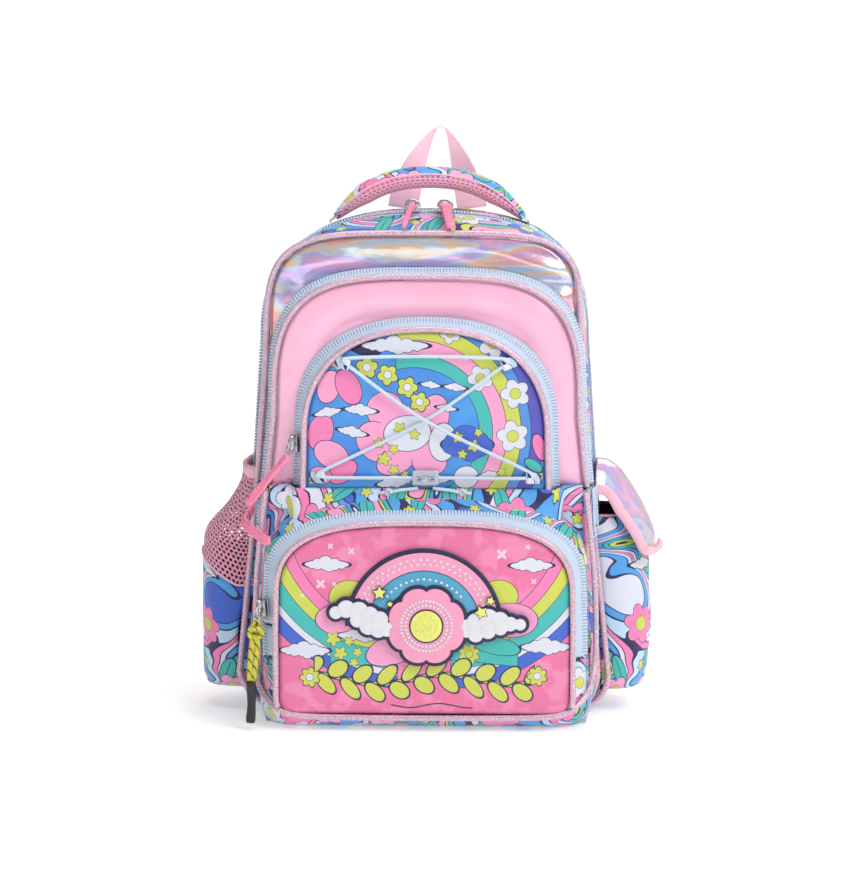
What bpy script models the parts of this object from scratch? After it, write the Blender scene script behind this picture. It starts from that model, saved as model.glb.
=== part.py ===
"""A child's school backpack, standing on its base.

The bag is a stack of shells. The root shell holds the main compartment's well, the back, the side
pockets and the lower front pocket. Above FOLD_Z three shells open forward like the leaves of a book:
the front shell on the main zip, the second shell on the outer zip, and the bungee shell on the inner
zip. The pocket front folds down from its lower edge.

+Z is up, the front faces -Y, and +X is the wearer's right. All sizes are in metres.
"""

import math

import bmesh
import bpy
from mathutils import Matrix, Vector

# Driving dimensions
BODY_WIDTH = 0.300
BODY_TOP = 0.412
FOLD_Z = 0.192  # the upper leaves fold here
FABRIC = 0.002  # padded fabric wall
SEAM_GAP = 0.0004  # gap between pieces that are sewn face to face
LEAF_GAP = 0.0006  # gap under a leaf that folds
PIPING_R = 0.0025
PIPING_OUT = PIPING_R + 0.0004  # piping centre, outside the panel's edge
PIPING_Y = PIPING_R + 0.0004  # piping centre, in front of the gusset's edge

# Depth stations, from the back of the bag to the front
BACK_Y = 0.083
ZIP_Y = 0.025
FRONT_Y = -0.013
SECOND_BASE_Y = -0.0158
SECOND_Y = -0.036
BUNGEE_BASE_Y = -0.0388
BUNGEE_Y = -0.057
WELL_FRONT_Y = -0.057
POCKET_BASE_Y = -0.0598
POCKET_ZIP_Y = -0.081
POCKET_Y = -0.0955

HINGE_Y = -0.0625  # the three leaves share one fold line
POCKET_HINGE = (POCKET_Y - PIPING_Y, 0.0112)  # y and z of the pocket front's fold

CORNER_STEPS = 7
HALF = BODY_WIDTH / 2
WAIST = 0.1455  # half width at the fold

COLOURS = {
    "printed_fabric": ((0.32, 0.45, 0.85), 0.65, 0.0),
    "holographic_laminate": ((0.90, 0.68, 0.80), 0.22, 0.0),
    "pink_gloss_laminate": ((0.95, 0.58, 0.74), 0.25, 0.0),
    "pink_printed_panel": ((0.93, 0.42, 0.64), 0.5, 0.0),
    "zip_blue": ((0.68, 0.82, 0.92), 0.4, 0.0),
    "glitter_piping": ((0.83, 0.62, 0.72), 0.35, 0.0),
    "pink_mesh": ((0.85, 0.45, 0.58), 0.85, 0.0),
    "pink_webbing": ((0.90, 0.62, 0.72), 0.75, 0.0),
    "pink_rubber": ((0.95, 0.42, 0.58), 0.45, 0.0),
    "slider_metal": ((0.60, 0.60, 0.62), 0.25, 1.0),
    "elastic_cord": ((0.80, 0.88, 0.93), 0.6, 0.0),
    "clear_plastic": ((0.75, 0.82, 0.90), 0.2, 0.0),
    "yellow_cord": ((0.93, 0.90, 0.20), 0.7, 0.0),
    "patch_rubber": ((0.12, 0.10, 0.30), 0.5, 0.0),
    "lining": ((0.10, 0.09, 0.10), 0.8, 0.0),
    "board": ((0.20, 0.20, 0.22), 0.6, 0.0),
    "pink_plastic": ((0.90, 0.55, 0.68), 0.35, 0.0),
}


# ---------------------------------------------------------------- scene helpers


def clear_scene():
    for obj in list(bpy.data.objects):
        bpy.data.objects.remove(obj, do_unlink=True)


def new_collection(name, shown=True):
    collection = bpy.data.collections.new(name)
    bpy.context.scene.collection.children.link(collection)
    collection.hide_render = not shown
    return collection


clear_scene()
PARTS = new_collection("school_backpack")
CUTTERS = new_collection("cutters", shown=False)


def material(name):
    found = bpy.data.materials.get(name)
    if found:
        return found
    colour, roughness, metallic = COLOURS[name]
    made = bpy.data.materials.new(name)
    made.use_nodes = True
    shader = made.node_tree.nodes["Principled BSDF"]
    shader.inputs["Base Color"].default_value = (*colour, 1)
    shader.inputs["Roughness"].default_value = roughness
    shader.inputs["Metallic"].default_value = metallic
    return made


def add_object(name, data, slot, collection=PARTS):
    obj = bpy.data.objects.new(name, data)
    collection.objects.link(obj)
    obj.data.materials.append(material(slot))
    return obj


def move_to(obj, collection):
    for other in list(obj.users_collection):
        other.objects.unlink(obj)
    collection.objects.link(obj)


def body_empty(name, pivot):
    """An empty on a moving body's joint axis; its pieces are parented to it."""
    empty = bpy.data.objects.new("pivot_" + name, None)
    empty.location = pivot
    PARTS.objects.link(empty)
    return empty


def attach(empty, *pieces):
    for piece in pieces:
        piece.parent = empty
        piece.matrix_parent_inverse = Matrix.Translation(-Vector(empty.location))


# ---------------------------------------------------------------- outlines


def half_at(z, low, slope):
    """Half the width at height z, for a side that leans in by slope above the fold."""
    return low - slope * (z - FOLD_Z)


def arch(low, slope, top, corner, power, z_low=FOLD_Z + LEAF_GAP, grow=0.0):
    """(x, z) points up the left side, over a rounded top and down the right side."""
    shoulder = top - corner
    half = half_at(shoulder, low, slope) + grow
    right = []
    for step in range(CORNER_STEPS + 1):
        angle = math.pi / 2 * step / CORNER_STEPS
        x = half * math.cos(angle) ** (2 / power)
        z = shoulder + (corner + grow) * math.sin(angle) ** (2 / power)
        right.append((x if step < CORNER_STEPS else 0.0, z))
    right.insert(0, (half_at(z_low, low, slope) + grow, z_low))
    left = [(-x, z) for x, z in right[:-1]]
    return left + right[::-1]


def trough(half_top, half_low, z_top, z_low, radius, grow=0.0):
    """(x, z) points down the left side, round the bottom and up the right side."""
    half = half_low + grow
    bend = radius + grow
    low = z_low - grow
    left = [(-half_top - grow, z_top)]
    for step in range(CORNER_STEPS):
        angle = math.pi / 2 * step / (CORNER_STEPS - 1)
        left.append((-half + bend * (1 - math.cos(angle)), low + bend * (1 - math.sin(angle))))
    right = [(-x, z) for x, z in left]
    return left + right[::-1]


def ring(low, slope, top, corner, power, half_low, z_low, radius, grow=0.0):
    """A closed outline: an arch whose sides run down into rounded bottom corners."""
    upper = arch(low, slope, top, corner, power, FOLD_Z * 0.45, grow)
    lower = trough(half_low, half_low, 0.0, z_low, radius, grow)[1:-1]
    return upper + lower[::-1]


def at_depth(outline, y):
    return [Vector((x, y, z)) for x, z in outline]


# The named outlines of the bag, front and back
def body_outline(y, grow=0.0):
    """The arch of the main body at depth y: widest at the zip, narrower at the front panel."""
    if y >= ZIP_Y:
        t = (y - ZIP_Y) / (BACK_Y - ZIP_Y)
        return arch(WAIST, 0.062 + 0.004 * t, BODY_TOP - 0.003 * t, 0.106, 2.5, grow=grow)
    t = (ZIP_Y - y) / (ZIP_Y - FRONT_Y)
    return arch(WAIST - 0.0078 * t, 0.062 + 0.016 * t, BODY_TOP - 0.016 * t, 0.106 - 0.004 * t, 2.5 + 2.3 * t,
                grow=grow)


def well_outline(y, grow=0.0, z_low=0.0):
    """The trough of the lower body at depth y."""
    t = max(0.0, (ZIP_Y - y) / (ZIP_Y - FRONT_Y))
    return trough(WAIST - 0.0078 * t, HALF - 0.001 - 0.002 * t, FOLD_Z - LEAF_GAP, z_low, 0.032 - z_low,
                  grow)


def second_well_outline(t, grow=0.0, z_low=0.0):
    """The second compartment's trough, from its base (t 0) to its front wall (t 1)."""
    return trough(0.1375 - 0.0090 * t, 0.1430 - 0.0065 * t, FOLD_Z - LEAF_GAP, z_low, 0.032 - z_low, grow)


def second_outline(t, grow=0.0):
    """The second shell's arch, from its base (t 0) to its front edge (t 1)."""
    return arch(0.1375 - 0.0090 * t, 0.101, 0.371 - 0.0085 * t, 0.112, 3.4, grow=grow)


def bungee_outline(t, grow=0.0):
    """The bungee shell's arch, from its base (t 0) to its front edge (t 1)."""
    return arch(0.1100 - 0.0125 * t, 0.02, 0.333 - 0.0114 * t, 0.088 - 0.002 * t, 2.35, grow=grow)


def pocket_outline(y, grow=0.0):
    """The closed ring of the lower front pocket at depth y."""
    t = (POCKET_BASE_Y - y) / (POCKET_BASE_Y - POCKET_Y)
    top = 0.1880 - 0.0165 * t
    return ring(0.1270 - 0.0065 * t, 0.030 - 0.005 * t, top, 0.066 - 0.002 * t, 3.0,
                0.1305 - 0.0070 * t, 0.0062 + 0.0040 * t, 0.030 - 0.010 * t, grow)


# ---------------------------------------------------------------- solids


def mesh_object(name, points, faces, slot):
    mesh = bpy.data.meshes.new(name)
    mesh.from_pydata([tuple(p) for p in points], [], faces)
    mesh.update()
    return add_object(name, mesh, slot)


def turned_out(obj):
    """The same mesh with every face pointing out."""
    work = bmesh.new()
    work.from_mesh(obj.data)
    bmesh.ops.recalc_face_normals(work, faces=work.faces)
    work.to_mesh(obj.data)
    work.free()
    return obj


def band(name, rows, slot, closed=False):
    """A fabric wall through rows of (outer points, inner points), front to back or back to front."""
    count = len(rows[0][0])
    points = [p for outer, inner in rows for p in outer + inner]
    stride = 2 * count

    def outer(r, i):
        return r * stride + i % count

    def inner(r, i):
        return r * stride + count + i % count

    faces = []
    spans = range(count if closed else count - 1)
    last = len(rows) - 1
    for r in range(last):
        for i in spans:
            faces.append((outer(r, i), outer(r, i + 1), outer(r + 1, i + 1), outer(r + 1, i)))
            faces.append((inner(r, i), inner(r + 1, i), inner(r + 1, i + 1), inner(r, i + 1)))
        if not closed:
            for i in (0, count - 1):
                faces.append((outer(r, i), outer(r + 1, i), inner(r + 1, i), inner(r, i)))
    for r in (0, last):
        for i in spans:
            faces.append((outer(r, i), inner(r, i), inner(r, i + 1), outer(r, i + 1)))
    return turned_out(mesh_object(name, points, faces, slot))


def gusset(name, stations, slot, thickness=FABRIC, closed=False):
    """A band between depths. Each station is its depth and a function from growth to an outline."""
    rows = [(at_depth(outline(0.0), y), at_depth(outline(-thickness), y)) for y, outline in stations]
    return band(name, rows, slot, closed)


def swept_solid(name, sections, slot):
    """A closed solid through rings of points, with a cap at each end."""
    count = len(sections[0])
    points = [p for section in sections for p in section]
    faces = [tuple(range(count))[::-1]]
    for r in range(len(sections) - 1):
        for i in range(count):
            j = (i + 1) % count
            faces.append((r * count + i, r * count + j, (r + 1) * count + j, (r + 1) * count + i))
    last = (len(sections) - 1) * count
    faces.append(tuple(range(last, last + count)))
    return turned_out(mesh_object(name, points, faces, slot))


def plate(name, outline, y_front, thickness, slot):
    """A flat panel facing -Y: a filled 2D curve with an extrusion of half its thickness."""
    curve = bpy.data.curves.new(name, "CURVE")
    curve.dimensions = "2D"
    curve.fill_mode = "BOTH"
    curve.extrude = thickness / 2
    spline = curve.splines.new("POLY")
    spline.points.add(len(outline) - 1)
    for point, (x, z) in zip(spline.points, outline):
        point.co = (x, z, 0, 1)
    spline.use_cyclic_u = True
    obj = add_object(name, curve, slot)
    obj.rotation_euler = (math.pi / 2, 0, 0)
    obj.location = (0, y_front + thickness / 2, 0)
    return obj


def tube(name, points, radius, slot, cyclic=False):
    curve = bpy.data.curves.new(name, "CURVE")
    curve.dimensions = "3D"
    curve.bevel_depth = radius
    curve.bevel_resolution = 2
    curve.use_fill_caps = True
    spline = curve.splines.new("POLY")
    spline.points.add(len(points) - 1)
    for point, co in zip(spline.points, points):
        point.co = (*co, 1)
    spline.use_cyclic_u = cyclic
    return add_object(name, curve, slot)


def block(name, centre, size, slot, bevel=0.0, rotation=(0, 0, 0)):
    bpy.ops.mesh.primitive_cube_add(size=1, location=centre, rotation=rotation)
    obj = bpy.context.object
    obj.name = name
    obj.data.name = name
    obj.scale = size
    bpy.ops.object.transform_apply(location=False, rotation=False, scale=True)
    move_to(obj, PARTS)
    obj.data.materials.append(material(slot))
    if bevel:
        edge = obj.modifiers.new("Bevel", "BEVEL")
        edge.width = bevel
        edge.segments = 2
    return obj


def cut(obj, *cutters):
    for cutter in cutters:
        cutter.hide_render = True
        cutter.display_type = "WIRE"
        move_to(cutter, CUTTERS)
        boolean = obj.modifiers.new("Cut", "BOOLEAN")
        boolean.operation = "DIFFERENCE"
        boolean.object = cutter
    return obj


def flat_section(centre, along, across, width, thickness):
    """Eight points of a flat bar's section, with its corners taken off."""
    normal = along.cross(across).normalized()
    across = across.normalized()
    chamfer = min(thickness, width) * 0.3
    a, b = width / 2, thickness / 2
    flat = [(a, -b + chamfer), (a, b - chamfer), (a - chamfer, b), (-a + chamfer, b),
            (-a, b - chamfer), (-a, -b + chamfer), (-a + chamfer, -b), (a - chamfer, -b)]
    return [centre + across * u + normal * v for u, v in flat]


def strip(name, path, across, width, thickness, slot):
    """A flat strip along a path. across, width and thickness may each be a list, one for each point."""
    sections = []
    for i, point in enumerate(path):
        before = path[max(i - 1, 0)]
        after = path[min(i + 1, len(path) - 1)]
        along = (after - before).normalized()
        side = across[i] if isinstance(across, list) else across
        side = (side - along * side.dot(along)).normalized()
        size = width[i] if isinstance(width, list) else width
        depth = thickness[i] if isinstance(thickness, list) else thickness
        sections.append(flat_section(point, along, side, size, depth))
    return swept_solid(name, sections, slot)


def smooth_path(points, steps):
    """A Catmull-Rom curve through points, as a list of positions."""
    nodes = [Vector(p) for p in points]
    padded = [nodes[0] * 2 - nodes[1]] + nodes + [nodes[-1] * 2 - nodes[-2]]
    path = []
    for i in range(1, len(padded) - 2):
        a, b, c, d = padded[i - 1:i + 3]
        for step in range(steps):
            t = step / steps
            path.append(0.5 * (2 * b + (c - a) * t + (2 * a - 5 * b + 4 * c - d) * t * t
                               + (3 * b - a - 3 * c + d) * t ** 3))
    path.append(nodes[-1])
    return path


# ---------------------------------------------------------------- the root shell


def main_well():
    """The lower half of the main compartment and of the second one, which don't open."""
    gusset("lower_shell", [(y, lambda grow, y=y: well_outline(y, grow)) for y in (BACK_Y, ZIP_Y, FRONT_Y)],
           "printed_fabric", 0.0025)
    wall_z = 2 * PIPING_OUT  # the piping runs under the wall's bottom edge, above the floor
    plate("lower_front_wall", well_outline(FRONT_Y, z_low=wall_z), FRONT_Y - SEAM_GAP - FABRIC, FABRIC,
          "lining")
    edge = well_outline(FRONT_Y, PIPING_OUT, wall_z)
    tube("body_piping_lower", at_depth(edge, FRONT_Y - PIPING_Y), PIPING_R, "glitter_piping")

    rows = []
    for t, y in ((0, SECOND_BASE_Y), (1, WELL_FRONT_Y)):
        outer, inner = (at_depth(second_well_outline(t, grow), y) for grow in (0.0, -FABRIC))
        rows.append((outer, inner))
    for point in rows[0][0] + rows[0][1]:  # the bottom edge starts in front of the body's piping
        point.y -= 0.0030 * min(max((0.030 - point.z) / 0.012, 0.0), 1.0)
    band("second_lower_shell", rows, "printed_fabric")
    plate("second_lower_wall", second_well_outline(1, z_low=wall_z), WELL_FRONT_Y - SEAM_GAP - FABRIC,
          FABRIC, "lining")
    edge = second_well_outline(1, PIPING_OUT, wall_z)
    tube("second_piping_lower", at_depth(edge, WELL_FRONT_Y - PIPING_Y), PIPING_R, "glitter_piping")


def back():
    rear = body_outline(BACK_Y)
    low = well_outline(BACK_Y)
    outline = rear + low[::-1][1:-1]
    plate("back_panel", outline, BACK_Y + SEAM_GAP, FABRIC, "pink_mesh")
    gusset("rear_gusset", [(y, lambda grow, y=y: body_outline(y, grow)) for y in (BACK_Y, ZIP_Y + SEAM_GAP)],
           "printed_fabric")
    board = ring(0.134, 0.08, 0.395, 0.085, 2.7, 0.134, 0.006, 0.030)
    plate("back_board", board, BACK_Y - 0.0030, 0.0025, "board")
    block("base_board", (0, 0.034, 0.0042), (0.220, 0.084, 0.002), "board", bevel=0.0004)
    sleeve_depth = 0.016
    half, wall = 0.118, 0.0015
    rear_y = BACK_Y - 0.0035
    front_y = rear_y - sleeve_depth
    u_shape = [(-half, rear_y), (-half, front_y), (half, front_y), (half, rear_y),
               (half - wall, rear_y), (half - wall, front_y + wall), (-half + wall, front_y + wall),
               (-half + wall, rear_y)]
    low_z, high_z = 0.0080, 0.285
    swept_solid("inner_sleeve", [[Vector((x, y, z)) for x, y in u_shape] for z in (low_z, high_z)],
                "lining")
    back_pad()


def back_pad():
    """One moulded foam pad under air mesh, over the whole of the back."""
    y_in = BACK_Y + 2 * SEAM_GAP + FABRIC
    outline = ring(0.092, 0.02, 0.366, 0.070, 2.6, 0.094, 0.026, 0.030)
    inner = [Vector((x, y_in, z)) for x, z in outline]
    middle = [Vector((x, y_in + 0.007, z)) for x, z in outline]
    centre = Vector((0, y_in + 0.012, 0.20))
    outer = [p.lerp(centre, 0.08) + Vector((0, 0.0045, 0)) for p in middle]
    for p in outer:
        p.y = y_in + 0.011
    swept_solid("back_pad", [inner, middle, outer], "pink_mesh")
    block("strap_yoke", (0, BACK_Y + 0.0058, 0.3855), (0.150, 0.006, 0.022), "printed_fabric", bevel=0.002)


def lower_pocket():
    """The pocket's gusset, its zip over the top and sides, and the plain gusset under it."""
    depths = (POCKET_BASE_Y, POCKET_ZIP_Y + SEAM_GAP)
    stations = [(y, lambda grow, y=y: pocket_outline(y, grow)) for y in depths]
    gusset("pocket_gusset", stations, "printed_fabric", closed=True)
    pieces = {"pocket_zip": [], "pocket_base_gusset": []}
    for y in (POCKET_ZIP_Y, POCKET_Y):
        outer, inner = pocket_outline(y), pocket_outline(y, -FABRIC)
        split = len(pocket_outline(y)) - 2 * CORNER_STEPS  # the ring's arch comes first
        for name, chosen in (("pocket_zip", slice(0, split)), ("pocket_base_gusset", slice(split, None))):
            pieces[name].append((at_depth(outer[chosen], y), at_depth(inner[chosen], y)))
    for y, row in zip((POCKET_ZIP_Y, POCKET_Y), pieces["pocket_base_gusset"]):
        # The plain gusset reaches up to the zip's two ends
        ends = [(at_depth([outline[0], outline[-2 * CORNER_STEPS - 1]], y))
                for outline in (pocket_outline(y), pocket_outline(y, -FABRIC))]
        for side, extra in zip(row, ends):
            left, right = extra
            side.insert(0, right - Vector((0, 0, 0.0005)))
            side.append(left - Vector((0, 0, 0.0005)))
    band("pocket_zip", pieces["pocket_zip"], "zip_blue")
    band("pocket_base_gusset", pieces["pocket_base_gusset"], "printed_fabric")


# ---------------------------------------------------------------- side pockets

SIDE_CENTRE_Y = 0.030
SIDE_HALF_DEPTH = 0.038


def side_x(z):
    """Where the bag's side is at height z, with a small gap."""
    if z > FOLD_Z:
        return half_at(z, WAIST, 0.062) + 0.0006
    low = HALF - 0.001
    return low + (WAIST - low) * max(0.0, (z - 0.032) / (FOLD_Z - 0.032)) + 0.0006


def side_arc(side, reach, z, shrink=0.0):
    """A half round, seen from above, that reaches out from the bag's side to x = reach."""
    steps = 10
    row = []
    for step in range(steps + 1):
        angle = math.pi * step / steps
        x = side_x(z) + (reach - side_x(z) - shrink) * math.sin(angle) ** 0.7
        y = SIDE_CENTRE_Y + (SIDE_HALF_DEPTH - shrink) * math.cos(angle)
        row.append(Vector((side * x, y, z)))
    return row


def pocket_cup(name, side, levels, slot):
    """A side pocket's wall and floor in one closed solid, open at the top."""
    wall = 0.0016
    outer = [side_arc(side, reach, z) for reach, z in levels]
    inner = [side_arc(side, reach, z, wall) for reach, z in levels]
    for p in inner[0]:
        p.z += wall
    rings = outer + inner[::-1]
    count = len(outer[0])
    points = [p for row in rings for p in row]
    faces = []
    for r in range(len(rings) - 1):
        for i in range(count - 1):
            faces.append((r * count + i, r * count + i + 1, (r + 1) * count + i + 1, (r + 1) * count + i))
    # The floor's two faces, and the edges that lie along the bag's side
    last = (len(rings) - 1) * count
    faces.append(tuple(range(count)))
    faces.append(tuple(range(last, last + count)))
    levels_up = len(levels) - 1
    for r in range(levels_up):
        back = len(rings) - 1 - r
        for i in (0, count - 1):
            faces.append((r * count + i, (r + 1) * count + i, (back - 1) * count + i, back * count + i))
    faces.append((0, count - 1, last + count - 1, last))
    return turned_out(mesh_object(name, points, faces, slot))


def side_pockets():
    pocket_cup("left_pocket_base", -1, [(0.1840, 0.012), (0.1880, 0.030), (0.1890, 0.130)],
               "printed_fabric")
    rows = [(side_arc(-1, reach, z), side_arc(-1, reach, z, 0.0016)) for reach, z in
            ((0.1890, 0.1305), (0.1855, 0.150), (0.1720, 0.170), (0.1620, 0.188), (0.1575, 0.202))]
    band("left_pocket_mesh", rows, "pink_mesh")
    levels = [(0.1805, 0.012), (0.1845, 0.028), (0.1850, 0.100), (0.1780, 0.150), (0.1680, 0.165)]
    pocket_cup("right_pocket", 1, levels, "printed_fabric")


def side_flap():
    """The right pocket's cover, hinged on the bag's side."""
    profile = [(0.1475, 0.2070), (0.1535, 0.2052), (0.1610, 0.1975), (0.1695, 0.1840), (0.1785, 0.1675),
               (0.1865, 0.1500), (0.1905, 0.1340)]
    path = smooth_path([(x, SIDE_CENTRE_Y, z) for x, z in profile], 3)
    cover = strip("side_flap", path, Vector((0, 1, 0)), 0.086, 0.0030, "holographic_laminate")
    attach(body_empty("side_flap", (0.1475, SIDE_CENTRE_Y, 0.2070)), cover)


# ---------------------------------------------------------------- the folding leaves


def leaf(name, stations, panel_outline, panel_y, slots):
    """A leaf's three shells: its band, its front panel and the piping round the panel."""
    band_name, panel_name, piping_name = name
    side = gusset(band_name, stations, slots[0])
    panel = plate(panel_name, panel_outline(0.0), panel_y - SEAM_GAP - FABRIC, FABRIC, slots[1])
    edge = at_depth(panel_outline(PIPING_OUT), panel_y - PIPING_Y)
    return [side, panel, tube(piping_name, edge, PIPING_R, "glitter_piping")]


def front_shell():
    stations = [(y, lambda grow, y=y: body_outline(y, grow)) for y in (ZIP_Y - SEAM_GAP, FRONT_Y)]
    names = ("front_gusset", "front_panel", "body_piping_upper")
    pieces = leaf(names, stations, lambda grow: body_outline(FRONT_Y, grow), FRONT_Y,
                  ("printed_fabric", "holographic_laminate"))
    attach(body_empty("front_shell", (0, HINGE_Y, FOLD_Z)), *pieces)


def second_shell():
    depths = ((0, SECOND_BASE_Y), (1, SECOND_Y))
    stations = [(y, lambda grow, t=t: second_outline(t, grow)) for t, y in depths]
    pieces = leaf(("second_zip", "second_panel", "second_piping"), stations,
                  lambda grow: second_outline(1, grow), SECOND_Y, ("zip_blue", "pink_gloss_laminate"))
    attach(body_empty("second_shell", (0, HINGE_Y, FOLD_Z)), *pieces)


PANEL_FRONT = BUNGEE_Y - SEAM_GAP - FABRIC
LOOPS = {"top_left": (-0.0660, 0.2965), "top_right": (0.0660, 0.2965),
         "low_left": (-0.0860, 0.2030), "low_right": (0.0860, 0.2030)}
CORD_R = 0.0015
CORD_Y = PANEL_FRONT - 0.0038


def bungee_route():
    """The elastic's closed route: along the bottom, up a diagonal, along the top and down the other."""
    inset = 0.004
    low_l, low_r = LOOPS["low_left"], LOOPS["low_right"]
    top_l, top_r = LOOPS["top_left"], LOOPS["top_right"]
    lift = 0.0022  # one diagonal passes over the other
    corners = [
        (0.0, CORD_Y, low_l[1]),
        (low_l[0] + inset, CORD_Y, low_l[1]),
        (low_l[0] + inset * 0.2, CORD_Y, low_l[1] + inset * 0.9),
        (low_l[0] + inset * 1.6, CORD_Y, low_l[1] + inset * 1.9),
        (0.0, CORD_Y + 0.0012, (low_l[1] + top_r[1]) / 2 + 0.0006),
        (top_r[0] - inset * 1.6, CORD_Y, top_r[1] - inset * 1.0),
        (top_r[0] - inset * 0.2, CORD_Y, top_r[1] + inset * 0.2),
        (top_r[0] - inset * 1.4, CORD_Y, top_r[1] + inset * 1.2),
        (0.0, CORD_Y - 0.0006, top_r[1] + inset * 1.6),
        (top_l[0] + inset * 1.4, CORD_Y, top_l[1] + inset * 1.2),
        (top_l[0] + inset * 0.2, CORD_Y, top_l[1] + inset * 0.2),
        (top_l[0] + inset * 1.6, CORD_Y, top_l[1] - inset * 1.0),
        (0.0, CORD_Y - lift, (low_r[1] + top_l[1]) / 2 + 0.0006),
        (low_r[0] - inset * 1.6, CORD_Y, low_r[1] + inset * 1.9),
        (low_r[0] - inset * 0.2, CORD_Y, low_r[1] + inset * 0.9),
        (low_r[0] - inset, CORD_Y, low_r[1]),
    ]
    return smooth_path(corners + corners[:1], 3)[:-1]


def bungee_shell():
    depths = ((0, BUNGEE_BASE_Y), (1, BUNGEE_Y))
    stations = [(y, lambda grow, t=t: bungee_outline(t, grow)) for t, y in depths]
    pieces = leaf(("bungee_zip", "bungee_panel", "bungee_piping"), stations,
                  lambda grow: bungee_outline(1, grow), BUNGEE_Y, ("zip_blue", "printed_fabric"))
    for name, (x, z) in LOOPS.items():
        pieces.append(block("cord_loop_" + name, (x, PANEL_FRONT - 0.0011, z), (0.009, 0.0014, 0.009),
                            "printed_fabric", bevel=0.0004))
    pieces.append(tube("bungee_cord", bungee_route(), CORD_R, "elastic_cord", cyclic=True))
    attach(body_empty("bungee_shell", (0, HINGE_Y, FOLD_Z)), *pieces)
    cord_lock()


def cord_lock():
    z = LOOPS["low_left"][1]
    lock = block("cord_lock", (0, CORD_Y, z), (0.022, 0.0062, 0.0125), "clear_plastic", bevel=0.0016)
    bpy.ops.mesh.primitive_cylinder_add(radius=CORD_R + 0.0004, depth=0.04, vertices=12,
                                        location=(0, CORD_Y, z), rotation=(0, math.pi / 2, 0))
    bore = bpy.context.object
    bore.name = "cord_lock_bore"
    cut(lock, bore)
    tails = []
    for name, side in (("left", -1), ("right", 1)):
        points = [(side * 0.0060, CORD_Y, z - 0.0083), (side * 0.0100, CORD_Y - 0.0004, z - 0.0090),
                  (side * 0.0190, CORD_Y - 0.0008, z - 0.0094), (side * 0.0290, CORD_Y, z - 0.0092),
                  (side * 0.0385, CORD_Y, z - 0.0083)]
        tails.append(tube("cord_tail_" + name, smooth_path(points, 3), CORD_R, "elastic_cord"))
    attach(body_empty("cord_lock", (0, CORD_Y, z)), lock, *tails)


def pocket_front():
    """The pocket's front panel, with its piping and the moulded patch."""
    panel_y = POCKET_Y - 0.0036
    panel = plate("pocket_panel", pocket_front_outline(), panel_y, FABRIC, "pink_printed_panel")
    edge = pocket_front_outline(grow=PIPING_OUT)
    piping = tube("pocket_piping", at_depth(edge, POCKET_HINGE[0]), PIPING_R, "glitter_piping", cyclic=True)
    patch = plate("rainbow_patch", patch_outline(), panel_y - SEAM_GAP - 0.0038, 0.0038, "patch_rubber")
    attach(body_empty("pocket_front", (0, *POCKET_HINGE)), panel, piping, patch)


def pocket_front_outline(grow=0.0):
    return ring(0.1160, 0.020, 0.168, 0.062, 3.0, 0.1180, 0.0141, 0.012, grow)


def patch_outline():
    """A rainbow on two clouds, with a round flower below its middle."""
    centre_z, arch_r, flower_r, cloud_x, cloud_z = 0.088, 0.060, 0.032, 0.078, 0.101
    points = []
    for step in range(13):  # over the rainbow, left to right
        angle = math.radians(166 - 152 * step / 12)
        points.append((arch_r * math.cos(angle), centre_z + arch_r * math.sin(angle)))
    points += [(cloud_x, cloud_z), (cloud_x + 0.003, cloud_z - 0.008), (cloud_x - 0.012, cloud_z - 0.016),
               (0.050, 0.075)]
    for step in range(9):  # round the flower's lower half
        angle = math.radians(-20 - 140 * step / 8)
        points.append((flower_r * math.cos(angle), centre_z + flower_r * math.sin(angle)))
    points += [(-0.050, 0.075), (-cloud_x + 0.012, cloud_z - 0.016), (-cloud_x - 0.003, cloud_z - 0.008),
               (-cloud_x, cloud_z)]
    return points


# ---------------------------------------------------------------- zip sliders and pulls


def slider(name, centre, size, rotation=(0, 0, 0)):
    return block(name, centre, size, "slider_metal", bevel=0.0012, rotation=rotation)


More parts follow.
